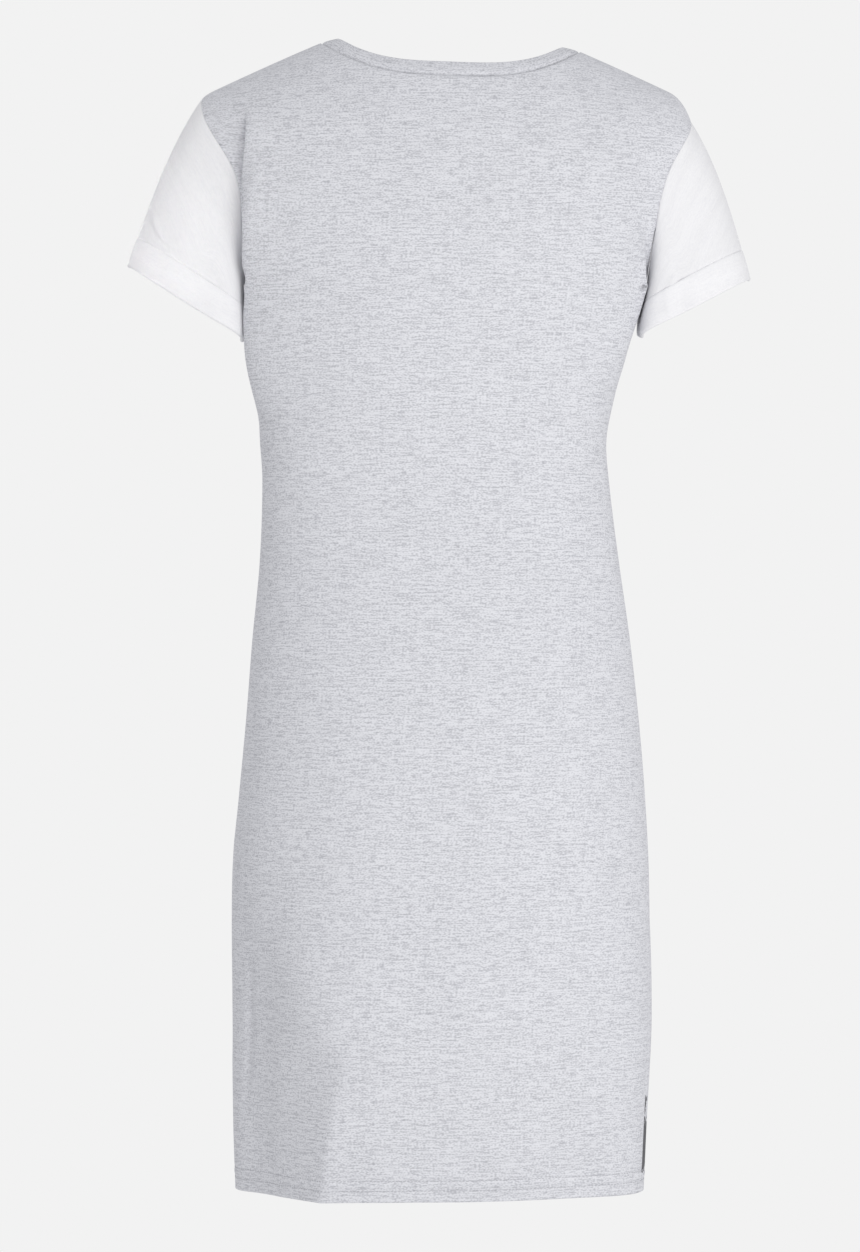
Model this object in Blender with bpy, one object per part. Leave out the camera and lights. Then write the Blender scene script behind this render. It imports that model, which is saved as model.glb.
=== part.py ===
"""Short-sleeved jersey T-shirt dress, filled out as worn, hollow and open at neck, cuffs and hem.

Frame: +Z up, the front faces -Y, +X is the wearer's left. The origin lies between the two high
shoulder points, where the wearer's shoulders carry the dress. Sizes are in millimetres and become
metres only when a mesh is made. A drop is a distance below the high shoulder point.

The body is a ring of cloth at every height. An angle runs round it: 0 degrees at the left side,
90 at the centre back, 180 at the right side, 270 at the centre front.
"""

import bisect
import math
from collections import defaultdict, namedtuple

import bmesh
import bpy
from mathutils import Vector

MM = 0.001

# Cloth
JERSEY = 1.2
DOUBLED = 2.2
SEAM_GAP = 0.3

# Lengths down the dress
UNDERARM_DROP = 196.0
HEM_DROP = 914.0
HEM_ALLOWANCE = 20.0
HEM_STEP = 0.8

# How square the rings are (2 is an ellipse, more is boxier), and about how deep for their width
SQUARENESS = 2.4
FLATNESS = 0.65

# Half widths and depths of the worn form, a row for each level
Level = namedtuple("Level", "drop left right back front")
LEVELS = (
    Level(0, 222, 246, 90, 68),
    Level(44, 215, 234, 95, 78),
    Level(64, 208, 225, 97, 83),
    Level(102, 184, 203, 99, 94),
    Level(120, 176, 195, 99, 99),
    Level(150, 168, 183, 100, 108),
    Level(180, 156, 170, 99, 115),
    Level(196, 146, 164, 98, 118),
    Level(220, 146, 157, 96, 118),
    Level(240, 146, 150, 94, 118),
    Level(260, 146, 145, 90, 114),
    Level(284, 145, 139, 86, 108),
    Level(316, 144, 133, 80, 98),
    Level(348, 142, 135, 77, 92),
    Level(412, 144, 143, 82, 90),
    Level(476, 150, 152, 93, 94),
    Level(540, 155, 159, 103, 99),
    Level(604, 161, 164, 110, 103),
    Level(668, 167, 167, 111, 106),
    Level(764, 168, 167, 101, 105),
    Level(860, 167, 162, 82, 99),
    Level(914, 165, 160, 67, 95),
)

# Neckline and shoulder seams
NECK_LEFT_X = 95.7
NECK_RIGHT_X = -112.5
SHOULDER_TIP_LEFT_X = 191.0
SHOULDER_TIP_RIGHT_X = -200.8
SHOULDER_SEAM_Y = -5.0
RIDGE_HEIGHT = 57.0
RIDGE_SLOPE = 0.49
RIDGE_ROUND = 60.0
RIDGE_BEND_X = 180.0
RIDGE_BEND = 0.0017
Scoop = namedtuple("Scoop", "dip power")
SCOOPS = {"back": Scoop(dip=29.0, power=2.9), "front": Scoop(dip=92.0, power=2.4)}

# How the panels round over the shoulder and open at the armholes
SHOULDER_ROLL = 2.2
ARMHOLE_SHARE = 0.56
ARMHOLE_POWER = 3.0

# The right side seam drifts towards the back below the waist, in degrees round the ring
SEAM_DRIFT_START = 430.0
SEAM_DRIFT_END = 800.0
SEAM_DRIFT = 13.0

# Folds: a ridge (push over 0) or trough, its angle at the top and bottom, the drops it spans, how
# wide each flank is and how round its crest, in degrees, and which way it pushes: straight out from
# the cloth, or sideways, away from the middle of the dress.
Fold = namedtuple("Fold", "top bottom angle_top angle_bottom push before after crest way")
FOLDS = (
    Fold(700, 1080, 64, 57, 31, 20, 60, 4, "out"),
    Fold(640, 1080, 31, 31, -13, 17, 17, 8, "out"),
    Fold(30, 190, 52, 27, 9, 10, 26, 3, "sideways"),
    Fold(100, 285, 31, 20, 18, 13, 26, 3, "sideways"),
    Fold(80, 270, 147, 158, 11.5, 26, 13, 3, "sideways"),
    Fold(70, 190, 31, 21, -5, 7, 7, 4, "out"),
    Fold(560, 1060, 128, 132, -4, 14, 16, 6, "out"),
    Fold(700, 1080, 148, 146, 4, 12, 14, 5, "out"),
    Fold(330, 640, 150, 140, -3, 14, 14, 6, "out"),
    Fold(250, 1060, 238, 232, -7, 15, 18, 6, "out"),
    Fold(330, 1080, 262, 266, 6, 16, 18, 6, "out"),
    Fold(260, 1060, 296, 302, -7, 18, 15, 6, "out"),
    Fold(80, 260, 222, 212, 5, 12, 12, 5, "out"),
    Fold(80, 260, 318, 328, 5, 12, 12, 5, "out"),
)

# Folds fade out over this share of a panel's width beside the armholes, and for this far below them
FOLD_EDGE = 0.14
FOLD_FADE = 60.0

# Sleeve: the points nearest to and furthest from the body on its end, seen from the back
SleeveEnd = namedtuple("SleeveEnd", "inner_x inner_drop outer_x outer_drop")
SLEEVE_ENDS = {
    "left": SleeveEnd(157.0, 236.0, 249.0, 176.0),
    "right": SleeveEnd(-162.5, 232.0, -247.5, 186.5),
}
SLEEVE_HALF_DEPTH = 54.0
SLEEVE_CENTRE_Y = -4.0
CAP_LIFT_OUT = 22.0
CAP_LIFT_UP = 18.0
CAP_DROOP = 12.0
UNDERARM_FLARE = 20.0
END_SQUARE = 0.3

# The sleeve's end is a squared ring, more so beside the body, where its back corner leans inwards.
# Its front rises a little
END_BOXY_OUTSIDE = 2.6
END_BOXY_INSIDE = 4.2
INSIDE_LEAN = {"left": 4.0, "right": 0.5}
FRONT_RISE = 6.0

# Turned-up cuff and neckband
CUFF_HEIGHT = 22.0
CUFF_FLARE = 0.6
FOLD_DROP = 1.6
BAND_WIDTH = 14.0
BAND_LEAN_SIDE = 10.0
BAND_LEAN_BACK = 53.0
BAND_LEAN_FRONT = 62.0

# Mesh counts
SHOULDER_COLUMNS = 7
NECK_COLUMNS = 14
ARMHOLE_ROWS = 14
BODY_ROWS = 26
SLEEVE_ROWS = 8
CUFF_STEPS = 3
TIP_SPACING = 1.35

# Two pieces are mitred at a seam where the cosine between their normals is over this
FACING_ALIKE = -0.2

GREY = (0.62, 0.63, 0.66, 1.0)
WHITE = (0.86, 0.86, 0.88, 1.0)


def smooth(column, drop):
    """One column of LEVELS read at any drop, along a smooth curve through the rows."""
    drops = [row.drop for row in LEVELS]
    values = [getattr(row, column) for row in LEVELS]
    last = len(drops) - 1
    k = max(0, min(last - 1, bisect.bisect_right(drops, drop) - 1))

    def slope(i):
        low, high = max(0, i - 1), min(last, i + 1)
        return (values[high] - values[low]) / (drops[high] - drops[low])

    span = drops[k + 1] - drops[k]
    s = min(1.0, max(0.0, (drop - drops[k]) / span))
    return (
        (2 * s**3 - 3 * s**2 + 1) * values[k]
        + (s**3 - 2 * s**2 + s) * span * slope(k)
        + (3 * s**2 - 2 * s**3) * values[k + 1]
        + (s**3 - s**2) * span * slope(k + 1)
    )


def ease(a, b, x):
    """0 before a, 1 after b, and a smooth rise between them."""
    s = min(1.0, max(0.0, (x - a) / (b - a)))
    return s * s * (3 - 2 * s)


def rounded(value):
    """A sine or cosine squared off to the ring's shape, with its sign kept."""
    return math.copysign(abs(value) ** (2 / SQUARENESS), value)


def depth(angle, drop):
    """How far the ring lies behind (over 0) or before the side seams."""
    side = "back" if math.sin(angle) >= 0 else "front"
    return smooth(side, drop) * rounded(math.sin(angle))


def middle_and_half(drop):
    left, right = smooth("left", drop), smooth("right", drop)
    return (left - right) / 2, (left + right) / 2


def ridge_height(x):
    """The shoulder line seen from the back, carried on over the neck. It bends down at its ends."""
    beyond = max(0.0, abs(x) - RIDGE_BEND_X)
    return RIDGE_HEIGHT - RIDGE_SLOPE * math.hypot(x, RIDGE_ROUND) - RIDGE_BEND * beyond**3


def dome_depth(panel, x, z):
    """How far the panel lies behind (over 0) or before the middle, above the underarm.

    The ring's own depth there shrinks to that of the shoulder seam at the ridge.
    """
    middle, half = middle_and_half(-z)
    across = min(1.0, abs(x - middle) / half)
    ring = smooth(panel, -z) * (1 - across**SQUARENESS) ** (1 / SQUARENESS)
    outward = 1 if panel == "back" else -1
    rise = min(1.0, max(0.0, (z + UNDERARM_DROP) / (ridge_height(x) + UNDERARM_DROP)))
    return SHOULDER_SEAM_Y + (outward * ring - SHOULDER_SEAM_Y) * math.sqrt(1 - rise**SHOULDER_ROLL)


def shoulder_point(neck_x, tip_x, share):
    """A point on a shoulder seam, from its neck end (0) to its tip (1)."""
    x = neck_x + (tip_x - neck_x) * share
    return Vector((x, SHOULDER_SEAM_Y, ridge_height(x)))


def neckline_point(panel, turn):
    """A point on the neckline seam; turn runs from 0 at the left shoulder to pi at the right."""
    scoop = SCOOPS[panel]
    centre, half = (NECK_LEFT_X + NECK_RIGHT_X) / 2, (NECK_LEFT_X - NECK_RIGHT_X) / 2
    across = math.cos(turn)
    ends = ridge_height(NECK_LEFT_X), ridge_height(NECK_RIGHT_X)
    level = (ends[0] + ends[1]) / 2 + across * (ends[0] - ends[1]) / 2
    x, z = centre + half * across, level - scoop.dip * (1 - abs(across) ** scoop.power)
    return Vector((x, dome_depth(panel, x, z), z))


def top_point(panel, column):
    """The panel's top edge at a column: a shoulder seam, the neckline, then the other shoulder seam."""
    last = 2 * SHOULDER_COLUMNS + NECK_COLUMNS
    from_left = column if panel == "back" else last - column
    if from_left <= SHOULDER_COLUMNS:
        share = 1 - (from_left / SHOULDER_COLUMNS) ** TIP_SPACING
        return shoulder_point(NECK_LEFT_X, SHOULDER_TIP_LEFT_X, share)
    if from_left >= SHOULDER_COLUMNS + NECK_COLUMNS:
        share = 1 - ((last - from_left) / SHOULDER_COLUMNS) ** TIP_SPACING
        return shoulder_point(NECK_RIGHT_X, SHOULDER_TIP_RIGHT_X, share)
    return neckline_point(panel, math.pi * (from_left - SHOULDER_COLUMNS) / NECK_COLUMNS)


def seam_drift(drop):
    return math.radians(SEAM_DRIFT) * ease(SEAM_DRIFT_START, SEAM_DRIFT_END, drop)


def body_point(panel, share, drop):
    """A point of the closed ring below the underarm, and its angle. share is 0 to 1 along the panel."""
    right_seam = math.pi - seam_drift(drop)
    start, end = (0.0, right_seam) if panel == "back" else (right_seam, 2 * math.pi)
    angle = start + (end - start) * share
    middle, half = middle_and_half(drop)
    return Vector((middle + half * rounded(math.cos(angle)), depth(angle, drop), -drop)), angle


def yoke_point(panel, column, rise):
    """A point of the panel above the underarm, and its angle. rise is 0 there and 1 on the top edge."""
    columns = 2 * SHOULDER_COLUMNS + NECK_COLUMNS
    share = column / columns
    top = top_point(panel, column)
    z = -UNDERARM_DROP + rise * (top.z + UNDERARM_DROP)
    opened = ARMHOLE_SHARE * math.sqrt(1 - (1 - rise) ** ARMHOLE_POWER)
    opening = math.asin(opened ** (SQUARENESS / 2))
    start = 0.0 if panel == "back" else math.pi
    angle = start + opening + share * (math.pi - 2 * opening)
    left_edge = -UNDERARM_DROP + rise * (ridge_height(SHOULDER_TIP_LEFT_X) + UNDERARM_DROP)
    right_edge = -UNDERARM_DROP + rise * (ridge_height(SHOULDER_TIP_RIGHT_X) + UNDERARM_DROP)
    left, right = smooth("left", -left_edge), -smooth("right", -right_edge)
    middle, half = (left + right) / 2, (left - right) / 2
    tip_middle = (SHOULDER_TIP_LEFT_X + SHOULDER_TIP_RIGHT_X) / 2
    tip_half = (SHOULDER_TIP_LEFT_X - SHOULDER_TIP_RIGHT_X) / 2
    level = ease(0.0, 1.0, rise)
    across = (1 - level) * rounded(math.cos(angle)) + level * rounded(math.cos(opening)) * (
        (top.x - tip_middle) / tip_half
    )
    x = middle + half * across
    x += (top.x - x) * rise**8
    if rise in (0, 1):
        return (top if rise else Vector((x, depth(angle, -z), z))), angle
    return Vector((x, dome_depth(panel, x, z), z)), angle


def fold_push(angle, drop):
    """How the folds move the cloth, level, at an angle and drop."""
    out = Vector((FLATNESS * math.cos(angle), math.sin(angle), 0)).normalized()
    sideways = Vector((math.copysign(1, math.cos(angle)), 0, 0))
    total = Vector()
    for fold in FOLDS:
        if not fold.top < drop < fold.bottom:
            continue
        along = (drop - fold.top) / (fold.bottom - fold.top)
        centre = fold.angle_top + (fold.angle_bottom - fold.angle_top) * along
        off = (math.degrees(angle) - centre + 180) % 360 - 180
        flank = fold.before if off < 0 else fold.after
        softened = math.hypot(off, fold.crest) - fold.crest
        push = fold.push * math.sin(math.pi * along) ** 0.7 * math.exp(-((softened / flank) ** 1.5))
        total += (out if fold.way == "out" else sideways) * push
    return total


def row_heights():
    """Rows of a panel from the hem up: ('body', drop) and then ('yoke', rise)."""
    hem_top = HEM_DROP - HEM_ALLOWANCE
    drops = [HEM_DROP, HEM_DROP - 0.5 * HEM_ALLOWANCE, hem_top, hem_top - HEM_STEP]
    step = (hem_top - HEM_STEP - UNDERARM_DROP) / BODY_ROWS
    drops += [hem_top - HEM_STEP - step * k for k in range(1, BODY_ROWS)]
    rises = [(1 - math.cos(math.pi * k / ARMHOLE_ROWS)) / 2 for k in range(ARMHOLE_ROWS + 1)]
    return [("body", drop) for drop in drops] + [("yoke", rise) for rise in rises]


def panel_grid(panel):
    """Rows of outer points from hem to top edge, each from one side seam or armhole to the other."""
    columns = 2 * SHOULDER_COLUMNS + NECK_COLUMNS
    grid, angles = [], []
    for kind, height in row_heights():
        if kind == "body":
            row = [body_point(panel, c / columns, height) for c in range(columns + 1)]
        else:
            row = [yoke_point(panel, c, height) for c in range(columns + 1)]
        grid.append([point for point, _ in row])
        angles.append([angle for _, angle in row])
    return folded(grid, angles)


def folded(grid, angles):
    """The grid with its folds, which fade out towards the armholes and the top edge."""
    rows, columns = len(grid), len(grid[0])
    out = []
    for r in range(rows):
        row = []
        for c in range(columns):
            point = grid[r][c]
            push = fold_push(angles[r][c], -point.z)
            held = ease(UNDERARM_DROP + FOLD_FADE, UNDERARM_DROP, -point.z)
            edge = ease(0, FOLD_EDGE, min(c, columns - 1 - c) / (columns - 1))
            top = min(1.0, (rows - 1 - r) / 3.0)
            row.append(point + push * (1 - held * (1 - edge)) * top)
        out.append(row)
    return out


def grid_normals(grid, closed):
    """A normal at each point of a grid of rows; closed joins each row's end to its start."""
    rows, columns = len(grid), len(grid[0])
    normals = []
    for r in range(rows):
        row = []
        for c in range(columns):
            if closed:
                across = grid[r][(c + 1) % columns] - grid[r][c - 1]
            else:
                across = grid[r][min(c + 1, columns - 1)] - grid[r][max(c - 1, 0)]
            along = grid[min(r + 1, rows - 1)][c] - grid[max(r - 1, 0)][c]
            row.append(across.cross(along).normalized())
        normals.append(row)
    return normals


def key_of(point):
    return tuple(round(value, 2) for value in point)


def joined_normals(grids):
    """Normals of every grid. Where grids meet and face alike they share one, so their walls are mitred."""
    own = {name: grid_normals(grid, closed) for name, (grid, closed) in grids.items()}
    meeting = defaultdict(list)
    for name, (grid, _) in grids.items():
        for points, normals in zip(grid, own[name]):
            for point, normal in zip(points, normals):
                meeting[key_of(point)].append(normal)

    def shared(point, normal):
        alike = [other for other in meeting[key_of(point)] if other.dot(normal) > FACING_ALIKE]
        return sum(alike, Vector()).normalized()

    return {
        name: [
            [shared(point, normal) for point, normal in zip(points, normals)]
            for points, normals in zip(grid, own[name])
        ]
        for name, (grid, _) in grids.items()
    }


def drawn_in(grid, closed, ends=(True, True)):
    """The grid with its seam edges moved in by half a seam gap; ends are its first and last rows."""
    rows, columns = len(grid), len(grid[0])
    out = [[point.copy() for point in row] for row in grid]

    def pull(r, c, towards):
        out[r][c] += (towards - grid[r][c]).normalized() * (SEAM_GAP / 2)

    if not closed:
        for r in range(rows):
            pull(r, 0, grid[r][1])
            pull(r, columns - 1, grid[r][columns - 2])
    for c in range(columns):
        if ends[0]:
            pull(0, c, grid[1][c])
        if ends[1]:
            pull(rows - 1, c, grid[rows - 2][c])
    return out


def material(name, colour, roughness):
    made = bpy.data.materials.new(name)
    made.use_nodes = True
    shader = made.node_tree.nodes["Principled BSDF"]
    shader.inputs["Base Color"].default_value = colour
    shader.inputs["Roughness"].default_value = roughness
    shader.inputs["Metallic"].default_value = 0.0
    return made


def finish_object(name, bm, cloth, collection):
    """The bmesh as a named object, in metres, with its faces pointing out."""
    bmesh.ops.scale(bm, vec=(MM, MM, MM), verts=bm.verts)
    bmesh.ops.recalc_face_normals(bm, faces=bm.faces)
    mesh = bpy.data.meshes.new(name)
    bm.to_mesh(mesh)
    bm.free()
    mesh.shade_smooth()
    mesh.set_sharp_from_angle(angle=math.radians(40))
    mesh.materials.append(cloth)
    made = bpy.data.objects.new(name, mesh)
    collection.objects.link(made)
    return made


def cloth_wall(name, outer, normals, thickness, closed, cloth, collection):
    """A wall of cloth: the outer grid, the same grid moved in by each row's thickness, and its edges."""
    rows, columns = len(outer), len(outer[0])
    bm = bmesh.new()
    skin = [[bm.verts.new(point) for point in row] for row in outer]
    lining = [
        [bm.verts.new(outer[r][c] - normals[r][c] * thickness[r]) for c in range(columns)]
        for r in range(rows)
    ]
    spans = columns if closed else columns - 1
    for r in range(rows - 1):
        for c in range(spans):
            d = (c + 1) % columns
            bm.faces.new((skin[r][c], skin[r][d], skin[r + 1][d], skin[r + 1][c]))
            bm.faces.new((lining[r][c], lining[r + 1][c], lining[r + 1][d], lining[r][d]))
    for r in (0, rows - 1):
        for c in range(spans):
            d = (c + 1) % columns
            bm.faces.new((skin[r][c], lining[r][c], lining[r][d], skin[r][d]))
    if not closed:
        for c in (0, columns - 1):
            for r in range(rows - 1):
                bm.faces.new((skin[r][c], skin[r + 1][c], lining[r + 1][c], lining[r][c]))
    return finish_object(name, bm, cloth, collection)


def swept_ring(name, sections, cloth, collection):
    """A closed ring made of closed cross-sections, such as a cuff or the neckband."""
    bm = bmesh.new()
    rings = [[bm.verts.new(point) for point in section] for section in sections]
    count, corners = len(rings), len(rings[0])
    for k in range(count):
        for c in range(corners):
            this, following = rings[k], rings[(k + 1) % count]
            d = (c + 1) % corners
            bm.faces.new((this[c], this[d], following[d], following[c]))
    return finish_object(name, bm, cloth, collection)


def armhole_ring(grids, side):
    """The armhole from the underarm up the back edge to the shoulder tip and down the front edge."""
    first = len(row_heights()) - 1 - ARMHOLE_ROWS
    back_column, front_column = (0, -1) if side == "left" else (-1, 0)
    back = [row[back_column] for row in grids["back"][first:]]
    front = [row[front_column] for row in grids["front"][first:]]
    return back + front[-2:0:-1]


def sleeve_line(side, start, turn):
    """The two ends and two tangents of a line down the sleeve; turn is 0 underneath and pi on top."""
    end = SLEEVE_ENDS[side]
    inner = Vector((end.inner_x, SLEEVE_CENTRE_Y, -end.inner_drop))
    outer = Vector((end.outer_x, SLEEVE_CENTRE_Y, -end.outer_drop))
    outward = 1 if side == "left" else -1
    centre, half = (inner + outer) / 2, (outer - inner) / 2
    boxy = 2 / (END_BOXY_INSIDE if math.cos(turn) > 0 else END_BOXY_OUTSIDE)
    to_inside = math.copysign(abs(math.cos(turn)) ** boxy, math.cos(turn))
    to_back = math.copysign(abs(math.sin(turn)) ** boxy, math.sin(turn))
    finish = centre - half * to_inside + Vector((0, SLEEVE_HALF_DEPTH * to_back, 0))
    across = half.normalized()
    axis = Vector((-across.z * outward, 0, across.x * outward)) * -1
    if axis.z > 0:
        axis = -axis
    back_corner = 2 * max(0.0, math.cos(turn)) * max(0.0, math.sin(turn))
    finish -= axis * FRONT_RISE * max(0.0, -to_back)
    finish -= Vector((outward * INSIDE_LEAN[side], 0, 0)) * back_corner
    length = (finish - start).length
    on_top = max(0.0, -math.cos(turn)) ** 2
    beneath = max(0.0, math.cos(turn)) ** 2
    leave = (finish - start) + Vector((outward * CAP_LIFT_OUT, 0, CAP_LIFT_UP)) * on_top
    leave += Vector((outward * UNDERARM_FLARE, 0, 0)) * beneath
    square = END_SQUARE * (1 - on_top)
    arrive = axis * length * square + (finish - start) * (1 - square)
    arrive -= Vector((outward * CAP_DROOP, 0, 0)) * on_top
    return start, leave, finish, arrive


def along_line(line, s):
    """A point of a sleeve line, from the armhole (0) to the sleeve's end (1)."""
    start, leave, finish, arrive = line
    return (
        start * (2 * s**3 - 3 * s**2 + 1)
        + leave * (s**3 - 2 * s**2 + s)
        + finish * (3 * s**2 - 2 * s**3)
        + arrive * (s**3 - s**2)
    )


def sleeve_lines(grids, side):
    ring = armhole_ring(grids, side)
    return [sleeve_line(side, point, math.pi * k / ARMHOLE_ROWS) for k, point in enumerate(ring)]


def sleeve_grid(lines, side):
    """Rows of outer points from the armhole to the sleeve's end, ordered so that normals point out."""
    grid = [[along_line(line, r / SLEEVE_ROWS) for line in lines] for r in range(SLEEVE_ROWS + 1)]
    if side == "right":
        grid = [[row[0]] + row[:0:-1] for row in grid]
    return grid


def line_length(line):
    points = [along_line(line, s / 12) for s in range(13)]
    return sum((b - a).length for a, b in zip(points, points[1:]))


def cuff_sections(lines, side):
    """Cross-sections of the turned-up cuff: its outer layer and the fold under the sleeve's edge."""
    count = len(lines)
    rings = []
    for step in range(CUFF_STEPS + 1):
        height = CUFF_HEIGHT * step / CUFF_STEPS
        rings.append([along_line(line, 1 - height / line_length(line)) for line in lines])
    end = SLEEVE_ENDS[side]
    across = Vector((end.outer_x - end.inner_x, 0, end.inner_drop - end.outer_drop)).normalized()
    outward = 1 if side == "left" else -1
    down = Vector((across.z * outward, 0, -across.x * outward))
    down = down if down.z < 0 else -down
    sections = []
    for k in range(count):
        inside, outside = [], []
        for step, ring in enumerate(rings):
            around = ring[(k + 1) % count] - ring[k - 1]
            low, high = rings[max(step - 1, 0)][k], rings[min(step + 1, CUFF_STEPS)][k]
            normal = around.cross(high - low).normalized()
            centre = sum(ring, Vector()) / count
            if normal.dot(ring[k] - centre) < 0:
                normal = -normal
            flare = CUFF_FLARE * step / CUFF_STEPS
            inside.append(ring[k] + normal * (SEAM_GAP + flare))
            outside.append(ring[k] + normal * (SEAM_GAP + flare + DOUBLED))
            if step == 0:
                out = normal
        edge = rings[0][k]
        fold = [
            edge - out * JERSEY + down * SEAM_GAP,
            edge - out * JERSEY * 0.8 + down * (SEAM_GAP + 0.6 * FOLD_DROP),
            edge + out * (SEAM_GAP + 0.2 * DOUBLED) + down * (SEAM_GAP + FOLD_DROP),
            edge + out * (SEAM_GAP + 0.8 * DOUBLED) + down * (0.6 * FOLD_DROP),
        ]
        corner = edge + out * SEAM_GAP + down * SEAM_GAP
        sections.append([corner] + fold + outside + inside[:0:-1])
    return sections


def neck_ring():
    """The neckline seam all round: the back from left to right, then the front from right to left."""
    back = [neckline_point("back", math.pi * k / NECK_COLUMNS) for k in range(NECK_COLUMNS + 1)]
    front = [neckline_point("front", math.pi * k / NECK_COLUMNS) for k in range(NECK_COLUMNS + 1)]
    return back + front[-2:0:-1]


def band_grid():
    """Two rows: the neckline seam and the neckband's top edge, which leans in towards the neck."""
    seam = neck_ring()
    count = len(seam)
    centre = sum(seam, Vector()) / count
    top = []
    for k, point in enumerate(seam):
        turn = 2 * math.pi * k / count
        back, front = max(0.0, math.sin(turn)), max(0.0, -math.sin(turn))
        lean = BAND_LEAN_SIDE + back * (BAND_LEAN_BACK - BAND_LEAN_SIDE)
        lean = math.radians(lean + front * (BAND_LEAN_FRONT - BAND_LEAN_SIDE))
        around = seam[(k + 1) % count] - seam[k - 1]
        inward = Vector((around.y, -around.x, 0)).normalized()
        if inward.dot(centre - point) < 0:
            inward = -inward
        top.append(point + (inward * math.cos(lean) + Vector((0, 0, math.sin(lean)))) * BAND_WIDTH)
    return [seam, top]


def band_sections(grid, normals):
    """Cross-sections of the neckband: doubled jersey with a rounded fold along its top."""
    sections = []
    for k in range(len(grid[0])):
        seam, top = grid[0][k], grid[1][k]
        seam_normal, top_normal = normals[0][k], normals[1][k]
        rise = (top - seam).normalized()
        base = seam + rise * (SEAM_GAP / 2)
        middle, middle_normal = (seam + top) / 2, (seam_normal + top_normal).normalized()
        under = top - rise * (0.4 * DOUBLED)
        sections.append(
            [
                base - seam_normal * DOUBLED,
                base,
                middle,
                under,
                top - top_normal * (0.5 * DOUBLED),
                under - top_normal * DOUBLED,
                middle - middle_normal * DOUBLED,
            ]
        )
    return sections


def build_dress():
    for old in list(bpy.data.objects):
        bpy.data.objects.remove(old)
    collection = bpy.data.collections.new("tshirt_dress")
    bpy.context.scene.collection.children.link(collection)
    grey = material("heather_grey_jersey", GREY, 0.95)
    white = material("white_jersey", WHITE, 0.9)

    panels = {panel: panel_grid(panel) for panel in ("back", "front")}
    lines = {side: sleeve_lines(panels, side) for side in ("left", "right")}
    grids = {panel: (grid, False) for panel, grid in panels.items()}
    for side, made in lines.items():
        grids["sleeve_" + side] = (sleeve_grid(made, side), True)
    grids["neckband"] = (band_grid(), True)
    normals = joined_normals(grids)

    hem_rows = sum(1 for kind, height in row_heights() if height >= HEM_DROP - HEM_ALLOWANCE)
    for panel in ("back", "front"):
        rows = len(panels[panel])
        thickness = [DOUBLED if r < hem_rows else JERSEY for r in range(rows)]
        outer = drawn_in(panels[panel], False, ends=(False, True))
        cloth_wall(panel, outer, normals[panel], thickness, False, grey, collection)
    for side in ("left", "right"):
        name = "sleeve_" + side
        grid = grids[name][0]
        outer = drawn_in(grid, True, ends=(True, False))
        cloth_wall(name, outer, normals[name], [JERSEY] * len(grid), True, white, collection)
        swept_ring("cuff_" + side, cuff_sections(lines[side], side), white, collection)
    band = band_sections(grids["neckband"][0], normals["neckband"])
    swept_ring("neckband", band, grey, collection)


build_dress()
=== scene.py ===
# %% [markdown]
# A short-sleeved T-shirt dress in heather grey jersey, seen from the back and filled out as worn
# with nobody inside it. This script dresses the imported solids: every cut piece becomes a thin shell
# of cloth on the same form, with its seams, folds, hem stitching and knitted surface.
# The frame is +Z up, the front faces -Y, and +X is the wearer's left.

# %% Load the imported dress
import math
from collections import defaultdict, namedtuple

import bmesh
import bpy
import numpy as np
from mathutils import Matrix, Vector


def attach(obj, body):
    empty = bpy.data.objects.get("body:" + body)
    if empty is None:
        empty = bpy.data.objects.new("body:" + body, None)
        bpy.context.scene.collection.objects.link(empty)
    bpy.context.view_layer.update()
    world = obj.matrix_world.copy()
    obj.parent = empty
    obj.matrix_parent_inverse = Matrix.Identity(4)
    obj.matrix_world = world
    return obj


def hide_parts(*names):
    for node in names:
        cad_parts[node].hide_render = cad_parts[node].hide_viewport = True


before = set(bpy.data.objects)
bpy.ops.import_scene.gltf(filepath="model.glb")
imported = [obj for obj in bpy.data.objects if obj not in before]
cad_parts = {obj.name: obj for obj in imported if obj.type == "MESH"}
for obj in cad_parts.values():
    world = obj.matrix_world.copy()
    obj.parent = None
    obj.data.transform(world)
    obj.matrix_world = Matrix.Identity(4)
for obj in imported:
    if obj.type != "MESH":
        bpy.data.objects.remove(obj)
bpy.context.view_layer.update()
MM = 0.001
print("packed nodes:", ", ".join(sorted(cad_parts)))

# %% [markdown]
# The sizes come first, in millimetres, as a pattern cutter would list them. A drop is a distance
# below the high shoulder point. The body of the dress is a ring of cloth at every height, so one
# short table of half widths and depths gives the whole worn form, and one curve runs through it.

# %% Sizes of the worn form
# Body: a ring at every height, squarer than an ellipse by SQUARENESS
UNDERARM_DROP = 196.0
HEM_DROP = 914.0
HEM_ALLOWANCE = 20.0
SQUARENESS = 2.4
FLATNESS = 0.65

Level = namedtuple("Level", "drop left right back front")
LEVELS = (
    Level(0, 222, 246, 90, 68),
    Level(44, 215, 234, 95, 78),
    Level(64, 208, 225, 97, 83),
    Level(102, 184, 203, 99, 94),
    Level(120, 176, 195, 99, 99),
    Level(150, 168, 183, 100, 108),
    Level(180, 156, 170, 99, 115),
    Level(196, 146, 164, 98, 118),
    Level(220, 146, 157, 96, 118),
    Level(240, 146, 150, 94, 118),
    Level(260, 146, 145, 90, 114),
    Level(284, 145, 139, 86, 108),
    Level(316, 144, 133, 80, 98),
    Level(348, 142, 135, 77, 92),
    Level(412, 144, 143, 82, 90),
    Level(476, 150, 152, 93, 94),
    Level(540, 155, 159, 103, 99),
    Level(604, 161, 164, 110, 103),
    Level(668, 167, 167, 111, 106),
    Level(764, 168, 167, 101, 105),
    Level(860, 167, 162, 82, 99),
    Level(914, 165, 160, 67, 95),
)

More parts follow.
